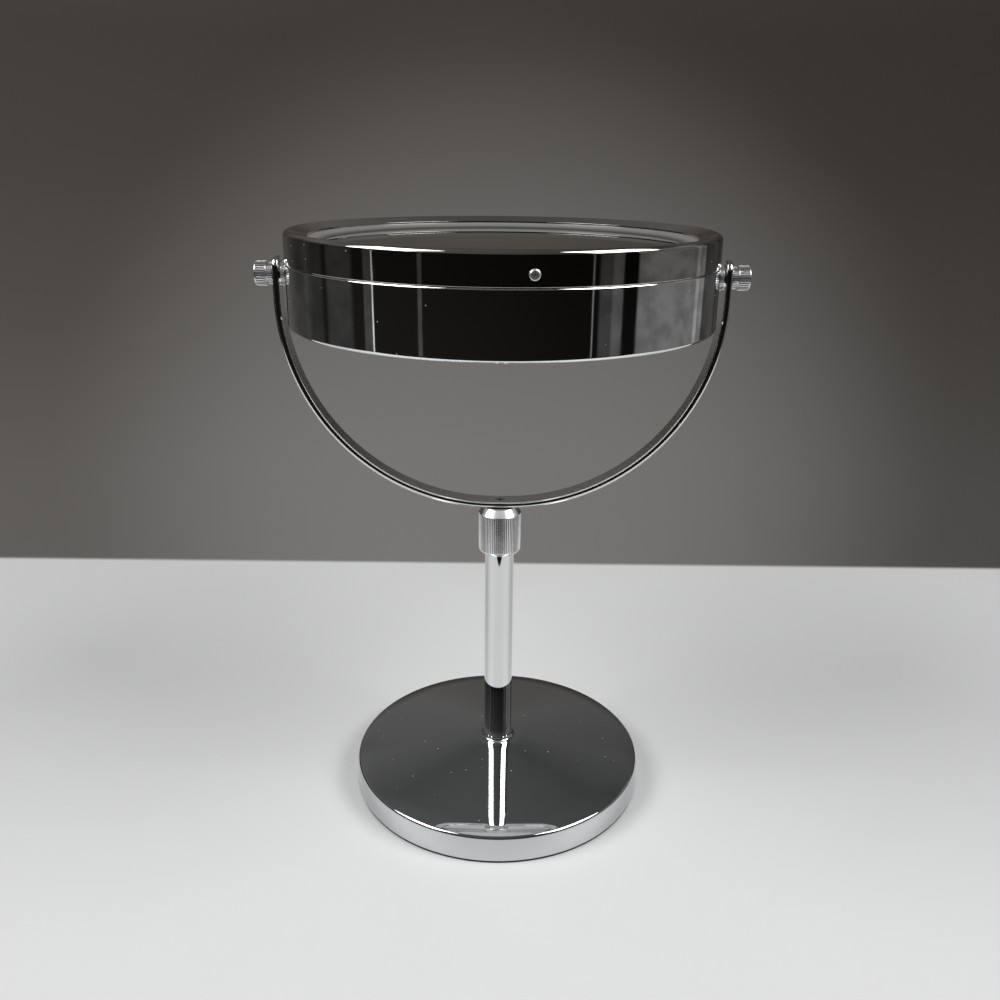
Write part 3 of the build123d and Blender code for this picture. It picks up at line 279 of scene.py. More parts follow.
class Nodes:
    """A short way to add nodes to one node tree and join them."""

    def __init__(self, tree):
        self.tree = tree

    def add(self, kind, inputs=(), **settings):
        """A new node: settings are its properties, inputs its sockets' values or what feeds them."""
        node = self.tree.nodes.new(kind)
        for name, value in settings.items():
            setattr(node, name, value)
        for key, value in dict(inputs).items():
            if isinstance(value, bpy.types.NodeSocket):
                self.tree.links.new(value, node.inputs[key])
            else:
                node.inputs[key].default_value = value
        return node

    def math(self, operation, *values):
        """The result of one math node."""
        return self.add("ShaderNodeMath", enumerate(values), operation=operation).outputs[0]

    def vector(self, operation, inputs):
        """The vector of one vector math node, from its sockets' numbers or names."""
        return self.add("ShaderNodeVectorMath", inputs, operation=operation).outputs["Vector"]

    def step(self, value, low, high, to_low=0.0, to_high=1.0):
        """A smooth step from to_low to to_high while the value goes from low to high."""
        inputs = {"Value": value, "From Min": low, "From Max": high, "To Min": to_low, "To Max": to_high}
        return self.add("ShaderNodeMapRange", inputs, interpolation_type="SMOOTHSTEP").outputs["Result"]

    def noise(self, place, scale, detail=2.0, roughness=0.5):
        """Cloudy noise from 0 to 1."""
        inputs = {"Vector": place, "Scale": scale, "Detail": detail, "Roughness": roughness}
        return self.add("ShaderNodeTexNoise", inputs).outputs["Fac"]

    def vary(self, noise, low, high):
        """A value from low to high that follows a noise over the range where most of it lies."""
        return self.step(noise, noise_low, noise_high, low, high)

    def blend(self, share, first, second):
        """A colour between two, by a share: the mix node's colour sockets are 6, 7 and, coming out, 2."""
        return self.add("ShaderNodeMix", {0: share, 6: first, 7: second}, data_type="RGBA").outputs[2]

    def bump(self, height, distance):
        """A bumped normal from a height, which stands for a distance in metres."""
        inputs = {"Height": height, "Distance": distance, "Strength": 1.0}
        return self.add("ShaderNodeBump", inputs).outputs["Normal"]

    def axes(self, vector):
        """A vector's X, Y and Z."""
        return self.add("ShaderNodeSeparateXYZ", {"Vector": vector}).outputs


def grey(level, warmth=0.0):
    """A near-grey colour, warmer or cooler by a small share."""
    return (level * (1 + warmth), level, level * (1 - warmth), 1.0)


def new_material(name, **values):
    """A material with its shader's own values set, its nodes, its shader and the piece's coordinates."""
    made = bpy.data.materials.new(name)
    made.use_nodes = True
    nodes = Nodes(made.node_tree)
    shader = made.node_tree.nodes["Principled BSDF"]
    for key, value in values.items():
        shader.inputs[key.replace("_", " ")].default_value = value
    coordinates = nodes.add("ShaderNodeTexCoord").outputs
    return made, nodes, shader, coordinates


def join(nodes, shader, **sockets):
    """Feed sockets into the shader."""
    for key, socket in sockets.items():
        nodes.tree.links.new(socket, shader.inputs[key.replace("_", " ")])


def dust_mask(nodes, place):
    """Sparse specks of dust: 1 on a speck, 0 between."""
    cells = nodes.add("ShaderNodeTexVoronoi", {"Vector": place, "Scale": 1 / dust_spacing}).outputs
    chosen = nodes.add("ShaderNodeSeparateColor", {"Color": cells["Color"]}).outputs["Red"]
    reach = dust_size / dust_spacing
    near = nodes.step(cells["Distance"], reach, reach / 2)
    return nodes.math("MULTIPLY", near, nodes.math("GREATER_THAN", chosen, dust_rarity))


def chrome(name, level, tint=-0.004, polish=0.028, haze=0.05, wave=0.0, satin=0.0):
    """Bright plating: mirror smooth or satin, with faint smudges, hazy patches and a few specks of dust."""
    made, nodes, shader, coordinates = new_material(name)
    place = coordinates["Object"]
    smudge = nodes.step(nodes.noise(place, smudge_scale, detail=4, roughness=0.6), *smudge_range)
    streak = nodes.step(nodes.noise(place, streak_scale, detail=3, roughness=0.7), *streak_range)
    dust = dust_mask(nodes, place)
    streaky = nodes.math("MULTIPLY", streak, streak_share * haze)
    hazy = nodes.math("MULTIPLY_ADD", smudge, haze, streaky)
    rough = nodes.math("ADD", hazy, polish)
    if satin:
        # The strap's edges are polished, and its broad faces, which face away from Y, are satin
        aside = nodes.math("ABSOLUTE", nodes.axes(coordinates["Normal"])["Y"])
        rough = nodes.math("ADD", rough, nodes.step(aside, *satin_range, 0.0, satin))
    smudged = nodes.math("MULTIPLY", smudge, smudge_cover)
    shade = nodes.blend(smudged, grey(level, tint), grey(smudge_shade * level, tint))
    join(
        nodes,
        shader,
        Base_Color=nodes.blend(dust, shade, grey(dust_level)),
        Metallic=nodes.math("SUBTRACT", 1.0, dust),
        Roughness=nodes.math("MAXIMUM", rough, nodes.math("MULTIPLY", dust, dust_rough)),
    )
    if wave:
        join(nodes, shader, Normal=nodes.bump(nodes.noise(place, wave_scale, detail=1), wave))
    return made


def mirror_glass(name):
    """Silvered glass: the clearest surface, dark and a little green at its ground edge."""
    made, nodes, shader, coordinates = new_material(name, Metallic=1.0)
    upright = nodes.math("ABSOLUTE", nodes.axes(coordinates["Normal"])["Z"])
    edge = nodes.step(upright, *glass_edge_range)
    cloud = nodes.noise(coordinates["Object"], glass_smudge_scale, detail=4, roughness=0.6)
    smudge = nodes.step(cloud, *glass_smudge_range)
    shade = nodes.blend(nodes.math("MULTIPLY", smudge, glass_smudge_cover), glass_clear, glass_smudged)
    rough = nodes.math("MULTIPLY_ADD", smudge, glass_smudge_rough, glass_rough)
    join(
        nodes,
        shader,
        Base_Color=nodes.blend(edge, shade, glass_edge),
        Roughness=nodes.math("MAXIMUM", rough, nodes.math("MULTIPLY", edge, glass_edge_rough)),
    )
    return made


def frosted(name, inner_radius):
    """Frosted light ring: grey while its lamps are off, with painted shade darker towards the mirror, and a
    fine tooth.
    """
    made, nodes, shader, coordinates = new_material(name, IOR=frost_ior)
    cloud = nodes.noise(coordinates["Object"], frost_cloud_scale, detail=3)
    tooth = nodes.noise(coordinates["Object"], frost_tooth_scale, detail=2)
    axes = nodes.axes(coordinates["Object"])
    across = nodes.math("MULTIPLY", axes["Y"], axes["Y"])
    radius = nodes.math("SQRT", nodes.math("MULTIPLY_ADD", axes["X"], axes["X"], across))
    # Painted shade: the ring's inner edge by the mirror is darkened in its colour, not by light
    outer = nodes.step(radius, inner_radius, inner_radius + frost_shade_width)
    pale = nodes.blend(cloud, *[grey(level, frost_warmth) for level in frost_pale])
    join(
        nodes,
        shader,
        Base_Color=nodes.blend(outer, grey(frost_painted_shade, frost_warmth), pale),
        Roughness=nodes.vary(cloud, *frost_rough),
        Normal=nodes.bump(tooth, frost_tooth_depth),
    )
    return made


def plain_metal(name, levels, rough, tint=0.0):
    """Bare or zinc-plated metal with cloudy plating and turned marks."""
    made, nodes, shader, coordinates = new_material(name, Metallic=1.0)
    cloud = nodes.noise(coordinates["Object"], metal_cloud_scale, detail=4)
    grain = nodes.noise(coordinates["Object"], metal_grain_scale, detail=2)
    join(
        nodes,
        shader,
        Base_Color=nodes.blend(cloud, *[grey(level, tint) for level in levels]),
        Roughness=nodes.vary(cloud, *rough),
        Normal=nodes.bump(grain, metal_grain_depth),
    )
    return made


def moulded(name, first, second, rough, tooth_scale, tooth_depth):
    """Moulded or cast stuff: two close colours in clouds, with a toothed surface."""
    made, nodes, shader, coordinates = new_material(name)
    cloud = nodes.noise(coordinates["Object"], moulded_cloud_scale, detail=4)
    tooth = nodes.noise(coordinates["Object"], tooth_scale, detail=3)
    join(
        nodes,
        shader,
        Base_Color=nodes.blend(cloud, first, second),
        Roughness=nodes.vary(cloud, *rough),
        Normal=nodes.bump(tooth, tooth_depth),
    )
    return made


def foam(name, first, second, pore):
    """Cell foam: open pores of one size in a dark or pale ground."""
    made, nodes, shader, coordinates = new_material(name)
    place = coordinates["Object"]
    cells = nodes.add("ShaderNodeTexVoronoi", {"Vector": place, "Scale": 1 / pore}).outputs["Distance"]
    cloud = nodes.noise(place, foam_cloud_scale, detail=3)
    depth = nodes.step(cells, *pore_range)
    join(
        nodes,
        shader,
        Base_Color=nodes.blend(nodes.math("MULTIPLY", depth, cloud), first, second),
        Roughness=nodes.vary(cloud, *foam_rough),
        Normal=nodes.bump(cells, pore_depth_share * pore),
    )
    return made


def circuit_board(name, mask, covered):
    """White-masked lamp board with a faint net of covered tracks under the mask."""
    made, nodes, shader, coordinates = new_material(name)
    place = coordinates["Object"]
    net = {"Vector": place, "Scale": track_scale}
    cells = nodes.add("ShaderNodeTexVoronoi", net, feature="DISTANCE_TO_EDGE").outputs["Distance"]
    join(
        nodes,
        shader,
        Base_Color=nodes.blend(nodes.step(cells, *track_range), mask, covered),
        Roughness=nodes.vary(nodes.noise(place, board_cloud_scale), *board_rough),
    )
    return made


def lead_sleeve(name):
    """Wire sleeves: red on the right of the head, black on the left."""
    made, nodes, shader, coordinates = new_material(name)
    right = nodes.step(nodes.axes(coordinates["Object"])["X"], -sleeve_change, sleeve_change)
    join(
        nodes,
        shader,
        Base_Color=nodes.blend(right, grey(sleeve_black), sleeve_red),
        Roughness=nodes.vary(nodes.noise(coordinates["Object"], sleeve_cloud_scale), *sleeve_rough),
    )
    return made


def cell_jacket(name):
    """Plain dark battery jacket with bare ends."""
    made, nodes, shader, coordinates = new_material(name)
    endwise = nodes.math("ABSOLUTE", nodes.axes(coordinates["Normal"])["Y"])
    bare = nodes.step(endwise, *jacket_end_range)
    join(
        nodes,
        shader,
        Base_Color=nodes.blend(bare, grey(jacket_level), grey(jacket_end_level)),
        Metallic=bare,
        Roughness=nodes.vary(nodes.noise(coordinates["Object"], jacket_cloud_scale), *jacket_rough),
    )
    return made


# The record's material slots
finishes = {
    "chrome_metal": chrome("chrome_metal", level=0.77),
    "chrome_plastic": chrome("chrome_plastic", level=0.88, wave=wave_depth),
    "silvered_glass": mirror_glass("silvered_glass"),
    "frosted_plastic": frosted("frosted_plastic", inner_radius=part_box("front_mirror")[1].y),
    "cast_iron": moulded(
        "cast_iron",
        first=grey(0.05, 0.05),
        second=grey(0.09, 0.03),
        rough=(0.6, 0.8),
        tooth_scale=900,
        tooth_depth=0.00015,
    ),
    "foam_pad": foam("foam_pad", first=grey(0.035), second=grey(0.015), pore=0.0006),
    "zinc_steel": plain_metal("zinc_steel", levels=(0.55, 0.68), rough=(0.25, 0.4), tint=-0.02),
    "white_plastic": moulded(
        "white_plastic",
        first=grey(0.72),
        second=grey(0.78),
        rough=(0.35, 0.5),
        tooth_scale=1500,
        tooth_depth=0.00002,
    ),
    "black_plastic": moulded(
        "black_plastic",
        first=grey(0.02),
        second=grey(0.03),
        rough=(0.35, 0.5),
        tooth_scale=2200,
        tooth_depth=0.00003,
    ),
    "foam_tape": foam("foam_tape", first=grey(0.6), second=grey(0.45), pore=0.0004),
    "circuit_board": circuit_board("circuit_board", mask=grey(0.72), covered=grey(0.6, 0.04)),
    "lamp_resin": moulded(
        "lamp_resin",
        first=lamp_amber,
        second=lamp_yellow,
        rough=(0.2, 0.3),
        tooth_scale=1500,
        tooth_depth=0.00002,
    ),
    "cell_jacket": cell_jacket("cell_jacket"),
    "contact_metal": plain_metal("contact_metal", levels=(0.6, 0.7), rough=(0.2, 0.3), tint=0.02),
    "lead_sleeve": lead_sleeve("lead_sleeve"),
}

# Nodes whose finish differs from that of their slot
knob_chrome = chrome("chrome_knob", level=0.85, polish=0.28, haze=0.08)
own_finishes = {
    "base_cover": chrome("chrome_cover", level=0.63, tint=-0.02),
    "front_ring": chrome("chrome_ring", level=0.5, tint=0.04, wave=wave_depth),
    "stem_collar": chrome("chrome_knurled", level=0.86, polish=0.2, haze=0.08),
    "pivot_lock_rings": knob_chrome,
    "pivot_spacers": knob_chrome,
    "pivot_knob_left": knob_chrome,
    "pivot_knob_right": knob_chrome,
    "yoke_strap": chrome("chrome_strap", level=0.74, tint=0.01, satin=0.2),
    "ring_lock_screw": plain_metal("screw_zinc", levels=(0.82, 0.92), rough=(0.36, 0.46)),
}

# Every node takes its own finish, or that of the slot which the record gives it
slots = {subpart["node"]: subpart["material_slot"] for subpart in frame["record"]["subparts"]}
finish_of = {node: own_finishes.get(node, finishes[slot]) for node, slot in slots.items()}
for node, finish in finish_of.items():
    mesh = frame["nodes"][node].data
    mesh.materials.clear()
    mesh.materials.append(finish)


def rounded(corners):
    """A section's points from (radius, height, rounding) corners: a rounded corner becomes a fine arc."""
    points = []
    for number, (radius, height, rounding) in enumerate(corners):
        here = Vector((radius, height))
        if not rounding:
            points.append(here)
            continue
        before = (Vector(corners[number - 1][:2]) - here).normalized()
        after = (Vector(corners[(number + 1) % len(corners)][:2]) - here).normalized()
        half = before.angle(after) / 2
        middle = here + (before + after).normalized() * rounding / sin(half)
        start = here + before * rounding / tan(half) - middle
        end = here + after * rounding / tan(half) - middle
        swing = pi - 2 * half
        for step in range(arc_steps + 1):
            share = step / arc_steps
            spoke = start * sin((1 - share) * swing) + end * sin(share * swing)
            points.append(middle + spoke / sin(swing))
    return points


def arc(middle_x, middle_z, radius, first, last):
    """Corners along an arc, with angles from straight up towards the outside."""
    turns = [first + (last - first) * step / arc_steps for step in range(arc_steps + 1)]
    return [(middle_x + radius * sin(turn), middle_z + radius * cos(turn), 0) for turn in turns]


def turned(angle, axis):
    """A turn about one axis, as a 4 by 4 matrix."""
    return Matrix.Rotation(angle, 4, axis)


def new_piece(name, shape):
    """An object from a closed bmesh, with its faces turned outwards."""
    bmesh.ops.recalc_face_normals(shape, faces=shape.faces)
    mesh = bpy.data.meshes.new(name)
    shape.to_mesh(mesh)
    shape.free()
    piece = bpy.data.objects.new(name, mesh)
    scene.collection.objects.link(piece)
    return piece


def add_face(shape, *corners):
    """A face from its corners, or none where so many of them are one that it has no area."""
    corners = list(dict.fromkeys(corners))
    if len(corners) > 2:
        shape.faces.new(corners)


def lathe(name, section):
    """A closed section turned about the Z axis: a point on the axis stays one point."""
    shape = bmesh.new()
    turns = [2 * pi * step / turn_count for step in range(turn_count)]
    rings = []
    for radius, height in section:
        if radius:
            spots = [(radius * cos(turn), radius * sin(turn), height) for turn in turns]
            rings.append([shape.verts.new(spot) for spot in spots])
        else:
            rings.append([shape.verts.new((0, 0, height))] * turn_count)
    for number, ring in enumerate(rings):
        below = rings[number - 1]
        for step in range(turn_count):
            add_face(shape, ring[step - 1], ring[step], below[step], below[step - 1])
    return new_piece(name, shape)


def cut(piece, cutter):
    """Take a cutter out of a piece."""
    modifier = piece.modifiers.new("cut", "BOOLEAN")
    modifier.operation = "DIFFERENCE"
    modifier.solver = "EXACT"
    modifier.object = cutter
    graph = bpy.context.evaluated_depsgraph_get()
    mesh = bpy.data.meshes.new_from_object(piece.evaluated_get(graph))
    piece.modifiers.clear()
    piece.data = mesh
    bpy.data.objects.remove(cutter)


def stand_for(piece, node, body):
    """Shade a piece smoothly with its broad faces true, and let it stand for a node with its finish."""
    piece.data.shade_smooth()
    piece.data.set_sharp_from_angle(angle=sharp_angle)
    piece.modifiers.new("true_faces", "WEIGHTED_NORMAL").keep_sharp = True
    piece.data.materials.clear()
    piece.data.materials.append(finish_of[node])
    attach(piece, body)
    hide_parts(node)


ring_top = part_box("front_ring")[1].z
head_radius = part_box("rear_housing")[1].y
housing_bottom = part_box("rear_housing")[0].z
seam = ring_top - ring_height
opening_radius = head_radius - bezel_width
shell_inner_radius = head_radius - shell_wall
bezel_corner_rise = ring_edge_radius * (tan(bezel_slope) + 1 / cos(bezel_slope) - 1)


def bezel_z(radius, depth=0.0):
    """Height of the lit side's sloped face at a radius, or of the surface a depth below it."""
    fall = (head_radius - radius) * tan(bezel_slope)
    return ring_top + bezel_corner_rise - fall - depth / cos(bezel_slope)


def sink_seat(piece, name, radius, depth, height, turn):
    """Sink a round seat into the head's side, at a height, where a turn takes the Z axis."""
    start = head_radius - depth
    end = head_radius + overrun
    seat = lathe(name, [(0, start), (radius, start), (radius, end), (0, end)])
    seat.matrix_world = Matrix.Translation((0, 0, height)) @ turn
    cut(piece, seat)


def build_front_ring():
    """Front ring: short wall, rounded shoulder and sloped bezel, with the seat of its lock screw."""
    corners = [
        (shell_inner_radius, seam, 0),
        (head_radius, seam, ring_seam_radius),
        (head_radius, bezel_z(head_radius), ring_edge_radius),
        (opening_radius, bezel_z(opening_radius), bezel_lip_radius),
        (opening_radius, bezel_z(opening_radius, bezel_thickness), 0),
        (shell_inner_radius, bezel_z(shell_inner_radius, bezel_thickness), 0),
    ]
    ring = lathe("front_ring_fine", rounded(corners))
    outward = turned(lock_screw_azimuth, "Z") @ turned(pi / 2, "Y")
    sink_seat(ring, "lock_seat", lock_seat_radius, lock_seat_depth, ring_top - lock_screw_drop, outward)
    stand_for(ring, "front_ring", "head")


def cut_switch_window(housing):
    """The switch's window, through the wall on the head's far side."""
    shape = bmesh.new()
    bmesh.ops.create_cube(shape, size=1.0)
    window = new_piece("switch_window", shape)
    middle = Vector((0, head_radius, pivot_height - window_drop))
    window.matrix_world = Matrix.LocRotScale(middle, None, (window_length, window_depth, window_height))
    cut(housing, window)


def build_rear_housing():
    """Rear housing: deep wall, flat bezel below and spigot above, with pivot seats and switch window."""
    spigot_outer = shell_inner_radius - spigot_clearance
    spigot_inner = spigot_outer - spigot_wall
    floor = housing_bottom + bezel_thickness
    corners = [
        (head_radius, seam, housing_seam_radius),
        (spigot_outer, seam, 0),
        (spigot_outer, seam + spigot_height, 0),
        (spigot_inner, seam + spigot_height, 0),
        (spigot_inner, seam - spigot_root, 0),
        (shell_inner_radius, seam - spigot_root - (shell_inner_radius - spigot_inner), 0),
        (shell_inner_radius, floor, 0),
        (opening_radius, floor, 0),
        (opening_radius, housing_bottom, bezel_lip_radius),
        (head_radius, housing_bottom, housing_edge_radius),
    ]
    housing = lathe("rear_housing_fine", rounded(corners))
    for side in (-1, 1):
        outward = turned(side * pi / 2, "Y")
        sink_seat(housing, "pivot_seat", pivot_seat_radius, pivot_seat_depth, pivot_height, outward)
    cut_switch_window(housing)
    stand_for(housing, "rear_housing", "head")


def build_front_mirror():
    """Front mirror: flat glass with a ground edge."""
    low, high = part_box("front_mirror")
    section = [
        (0, low.z),
        (high.y, low.z),
        (high.y, high.z - glass_chamfer),
        (high.y - glass_chamfer, high.z),
        (0, high.z),
    ]
    stand_for(lathe("front_mirror_fine", section), "front_mirror", "head")


def build_base_cover():
    """Foot cover: shallow cone with a rolled shoulder, a short skirt and a flare round the stem."""
    low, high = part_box("base_cover")
    radius = high.y
    shoulder = cover_shoulder_width / (sin(cover_rim_angle) - sin(cover_cone_angle))
    shoulder_x = radius - shoulder * sin(cover_rim_angle)
    shoulder_z = cover_edge_height - shoulder * cos(cover_rim_angle)
    land_z = high.z - flare_height
    inner_radius = radius - cover_wall
    inner_edge_height = cover_edge_height - cover_wall
    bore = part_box("stem_tube")[1].y + flare_clearance
    flare_top = bore + flare_lip
    flare_bow = (flare_width**2 + flare_height**2) / (2 * flare_height)
    flare_sweep = 2 * atan(flare_height / flare_width)
    corners = [
        (bore, land_z, 0),
        (bore, high.z, 0),
        *arc(flare_top + flare_width, land_z + flare_bow, flare_bow, pi + flare_sweep, pi),
        (cover_land_radius, land_z, 0),
        *arc(shoulder_x, shoulder_z, shoulder, cover_cone_angle, cover_rim_angle)[:-1],
        (radius, cover_edge_height, cover_edge_radius),
        (radius, low.z, 0),
        (inner_radius, low.z, 0),
        (inner_radius, inner_edge_height, 0),
        (cover_land_radius, land_z - cover_wall, 0),
        (cover_bolt_hole_radius, land_z - cover_wall, 0),
        (cover_bolt_hole_radius, land_z, 0),
    ]
    stand_for(lathe("base_cover_fine", rounded(corners)), "base_cover", "foot")


strap_low, strap_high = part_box("yoke_strap")
strap_half_width = strap_high.y
strap_bend_radius = strap_high.x - strap_flat_half - strap_thickness / 2
strap_bend_z = strap_low.z + strap_bend_radius + strap_thickness / 2
strap_arm_length = strap_high.z - strap_bend_z
strap_bend_length = strap_bend_radius * pi / 2
strap_length = 2 * (strap_arm_length + strap_bend_length + strap_flat_half)


def strap_point(along, across, inside):
    """A point of the strap: how far along it from the left tip, across its width and towards the head."""
    side = -1
    if along > strap_length / 2:
        side = 1
        along = strap_length - along
    reach = strap_bend_radius - inside
    bent = along - strap_arm_length
    if bent < 0:
        return side * (strap_flat_half + reach), across, strap_high.z - along
    if bent < strap_bend_length:
        turn = bent / strap_bend_radius
        return side * (strap_flat_half + reach * cos(turn)), across, strap_bend_z - reach * sin(turn)
    return side * (strap_length / 2 - along), across, strap_bend_z - reach


def spread(start, end, count):
    """Evenly spread values from start up to, but without, end."""
    return [start + (end - start) * step / count for step in range(count)]


def strap_tip(middle, half, turns):
    """A round tip's outline, as places along and across the strap."""
    return [(middle + half * cos(turn), half * sin(turn)) for turn in turns]


def strap_loop(inset, inside):
    """The strap's outline as a loop from the left tip, drawn in by an inset, at one place in thickness."""
    half = strap_half_width - inset
    near = strap_half_width
    far = strap_length - strap_half_width
    bend = strap_arm_length + strap_bend_length
    stations = spread(near, strap_arm_length, strap_arm_steps)
    stations += spread(strap_arm_length, bend, strap_bend_steps)
    stations += spread(bend, strap_length / 2, strap_flat_steps)
    stations += [strap_length / 2] + [strap_length - station for station in reversed(stations)]
    loop = strap_tip(near, half, spread(pi, 1.5 * pi, strap_tip_steps))
    loop += [(station, -half) for station in stations]
    loop += strap_tip(far, half, spread(-pi / 2, pi / 2, 2 * strap_tip_steps)[1:])
    loop += [(station, half) for station in reversed(stations)]
    loop += strap_tip(near, half, spread(pi / 2, pi, strap_tip_steps)[1:])
    return [strap_point(along, across, inside) for along, across in loop]


def strap_rim(radius):
    """A rounded rim, from a broad face to the edge: each step's inset and its place in the thickness."""
    turns = spread(0, pi / 2, strap_rim_steps) + [pi / 2]
    return [(radius * (1 - sin(turn)), strap_thickness / 2 - radius * (1 - cos(turn))) for turn in turns]


def build_strap():
    """Yoke strap: bent flat bar with round tips and rounded rims, countersunk for its screw."""
    shape = bmesh.new()
    rims = strap_rim(strap_inner_edge_radius)
    rims += [(inset, -inside) for inset, inside in reversed(strap_rim(strap_outer_edge_radius))]
    loops = [[shape.verts.new(point) for point in strap_loop(*rim)] for rim in rims]
    count = len(loops[0])
    for loop, next_loop in zip(loops, loops[1:]):
        for step in range(count):
            add_face(shape, loop[step - 1], loop[step], next_loop[step], next_loop[step - 1])
    for loop in (loops[0], loops[-1]):
        for step in range(count // 2):
            add_face(shape, loop[step], loop[step + 1], loop[-step - 1], loop[-step])
    strap = new_piece("yoke_strap_fine", shape)
    top = strap_low.z + strap_thickness
    sink = [
        (0, top - screw_head_height),
        (screw_shank_radius, top - screw_head_height),
        (screw_head_radius, top),
        (screw_head_radius, top + overrun),
        (0, top + overrun),
    ]
    cut(strap, lathe("screw_sink", sink))
    stand_for(strap, "yoke_strap", "yoke")


def floor_paint():
    """Pale paint with faint clouds, which fades to nothing at the ends of the pale part."""
    made, nodes, shader, coordinates = new_material("floor_paint", Roughness=floor_rough)
    place = coordinates["Object"]
    axes = nodes.axes(place)
    cloud = nodes.noise(place, floor_cloud_scale, detail=5, roughness=0.6)
    join(nodes, shader, Base_Color=nodes.blend(cloud, *[grey(level, floor_tint) for level in floor_levels]))
    across = nodes.step(nodes.math("ABSOLUTE", axes["X"]), floor_pale_x + floor_fade_x, floor_pale_x)
    back = nodes.step(axes["Y"], floor_pale_back + floor_fade, floor_pale_back)
    front = nodes.step(axes["Y"], -floor_pale_front - floor_fade, -floor_pale_front)
    shown = nodes.math("MULTIPLY", across, nodes.math("MULTIPLY", back, front))
    clear = nodes.add("ShaderNodeBsdfTransparent")
    mixed = nodes.add("ShaderNodeMixShader", {0: shown, 1: clear.outputs[0], 2: shader.outputs[0]})
    output = made.node_tree.nodes["Material Output"]
    made.node_tree.links.new(mixed.outputs[0], output.inputs["Surface"])
    return made


def build_floor():
    """A wide pale floor that ends in a clean edge behind and in front of the object."""
    half = floor_half_size
    corners = [(-half, -half, 0), (half, -half, 0), (half, half, 0), (-half, half, 0)]
    mesh = bpy.data.meshes.new("floor")
    mesh.from_pydata(corners, [], [(0, 1, 2, 3)])
    mesh.materials.append(floor_paint())
    floor = bpy.data.objects.new("floor", mesh)
    scene.collection.objects.link(floor)


def room_colour(nodes, axes, flat, seen, unseen):
    """The room's colour by height: dark on the camera's side, and plain all round as the backdrop."""
    ramp = nodes.add("ShaderNodeValToRGB", {"Fac": nodes.math("MULTIPLY_ADD", axes["Z"], 0.5, 0.5)})
    stops = ramp.color_ramp.elements
    while len(stops) < len(room_levels):
        stops.new(0.5)
    for stop, (height, level, warmth) in zip(stops, room_levels):
        stop.position = (height + 1) / 2
        stop.color = grey(level, warmth)
    backward = nodes.math("DIVIDE", axes["Y"], flat)
    behind = nodes.step(backward, room_front_y, room_back_y, room_front_share, 1.0)
    ceiling = nodes.step(axes["Z"], ceiling_low_z, ceiling_high_z)
    around = nodes.math("MULTIPLY", unseen, nodes.math("MAXIMUM", behind, ceiling))
    share = nodes.math("MULTIPLY_ADD", seen, backdrop_share, around)
    lean = nodes.math("MULTIPLY_ADD", axes["X"], room_lean_share, 1.0)
    leaning = nodes.math("MULTIPLY", share, lean)
    return nodes.vector("SCALE", {"Vector": ramp.outputs["Color"], "Scale": leaning})


def pool_light(nodes, axes):
    """The grey level of the pool of light on the wall behind."""
    pitch = radians(pool_pitch)
    ahead = nodes.math("MULTIPLY", axes["Y"], cos(pitch))
    towards = nodes.math("MULTIPLY_ADD", axes["Z"], sin(pitch), ahead)
    return nodes.step(towards, cos(radians(pool_reach)), 1.0, 0.0, pool_level)


def card_light(nodes, place, axes, flat):
    """The grey level of the cards, with soft edges and ends and faint clouds."""
    lit = 0.0
    for card in cards:
        turn = radians(card["azimuth"])
        ahead = nodes.math("MULTIPLY", axes["Y"], -cos(turn))
        along = nodes.math("MULTIPLY_ADD", axes["X"], sin(turn), ahead)
        inner = cos(radians(card["half_width"]))
        outer = cos(radians(card["half_width"] + card["soft"]))
        shown = nodes.step(nodes.math("DIVIDE", along, flat), outer, inner)
        lit = nodes.math("MULTIPLY_ADD", shown, card["level"], lit)
    over = nodes.step(axes["Z"], card_low_z - card_end_soft, card_low_z)
    under = nodes.step(axes["Z"], card_high_z + card_end_soft, card_high_z)
    raised = nodes.vector("MULTIPLY", {0: place, 1: (1.0, 1.0, card_cloud_rise)})
    cloud = nodes.vary(nodes.noise(raised, card_cloud_scale, detail=4, roughness=0.6), *card_cloud_shares)
    return nodes.math("MULTIPLY", nodes.math("MULTIPLY", lit, nodes.math("MULTIPLY", over, under)), cloud)


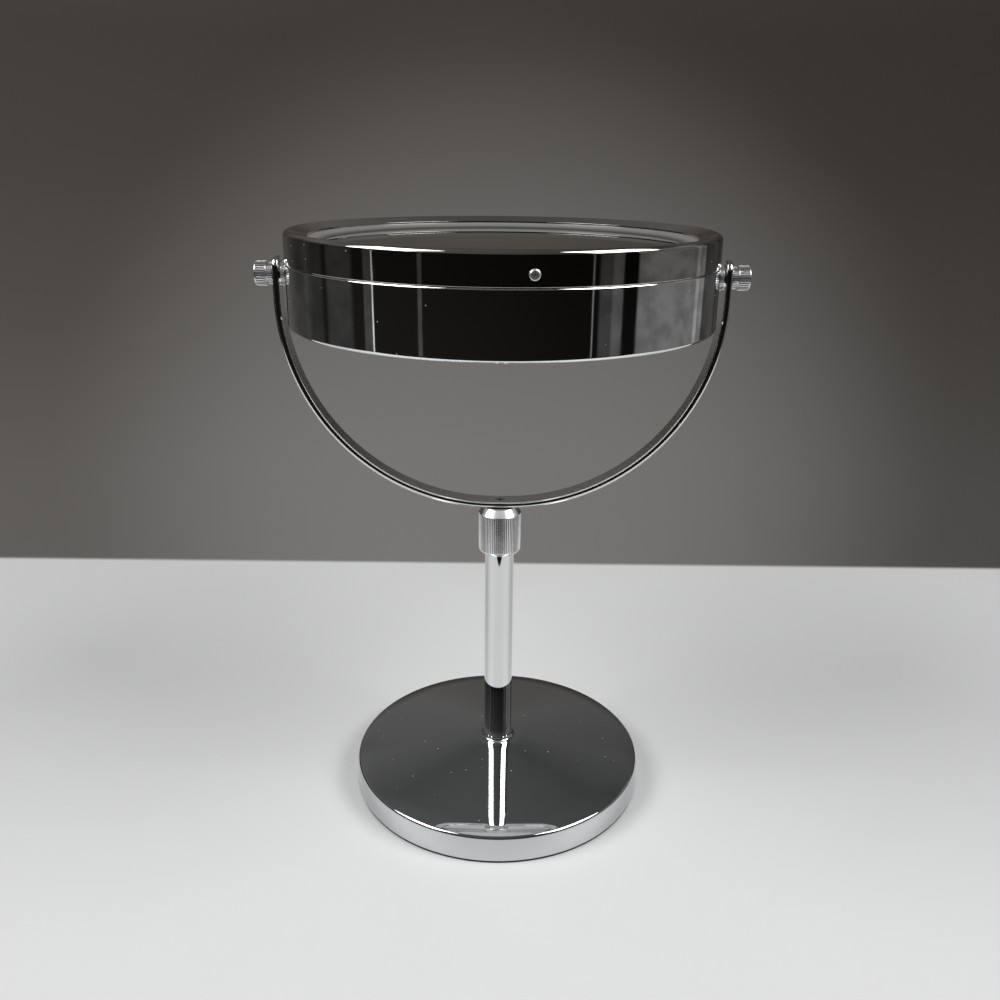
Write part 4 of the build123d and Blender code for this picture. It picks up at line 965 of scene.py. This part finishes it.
def build_world():
    """The room, its pool of light and the cards, all by direction: the camera itself sees no card."""
    world = bpy.data.worlds.new("studio")
    world.use_nodes = True
    scene.world = world
    nodes = Nodes(world.node_tree)
    place = nodes.add("ShaderNodeTexCoord").outputs["Generated"]
    axes = nodes.axes(place)
    level_square = nodes.math("SUBTRACT", 1.0, nodes.math("MULTIPLY", axes["Z"], axes["Z"]))
    flat = nodes.math("SQRT", nodes.math("MAXIMUM", level_square, least_level_square))
    seen = nodes.add("ShaderNodeLightPath").outputs["Is Camera Ray"]
    unseen = nodes.math("SUBTRACT", 1.0, seen)
    room = room_colour(nodes, axes, flat, seen, unseen)
    pool = pool_light(nodes, axes)
    lit = nodes.math("MULTIPLY_ADD", card_light(nodes, place, axes, flat), unseen, pool)
    glow = nodes.add("ShaderNodeCombineColor", {"Red": lit, "Green": lit, "Blue": lit}).outputs["Color"]
    total = nodes.vector("ADD", {0: room, 1: glow})
    background = world.node_tree.nodes["Background"]
    world.node_tree.links.new(total, background.inputs["Color"])


def build_lights():
    """Two soft boxes, aimed at half the camera's height over the foot's middle."""
    for name, side in (("soft_box_left", -1), ("soft_box_right", 1)):
        light = bpy.data.lights.new(name, "AREA")
        light.shape = "RECTANGLE"
        light.size = box_width
        light.size_y = box_height
        light.energy = box_power
        lamp = bpy.data.objects.new(name, light)
        scene.collection.objects.link(lamp)
        aim = Matrix.Translation((0, 0, camera_height / 2))
        around = turned(side * radians(box_azimuth), "Z")
        tilt = turned(pi / 2 - radians(box_elevation), "X")
        lamp.matrix_world = aim @ around @ tilt @ Matrix.Translation((0, 0, box_distance))


def build_camera():
    """The photograph's own viewpoint: straight ahead along +Y, pitched down, with a slight roll."""
    data = bpy.data.cameras.new("camera")
    data.sensor_width = camera_sensor
    data.lens = camera_lens
    data.clip_start = camera_clip
    camera = bpy.data.objects.new("camera", data)
    scene.collection.objects.link(camera)
    turn = turned(pi / 2 - radians(camera_pitch), "X") @ turned(radians(camera_roll), "Z")
    camera.matrix_world = Matrix.Translation((0, -camera_distance, camera_height)) @ turn
    scene.camera = camera


build_front_ring()
build_rear_housing()
build_front_mirror()
build_base_cover()
build_strap()
build_floor()
build_world()
build_lights()
build_camera()
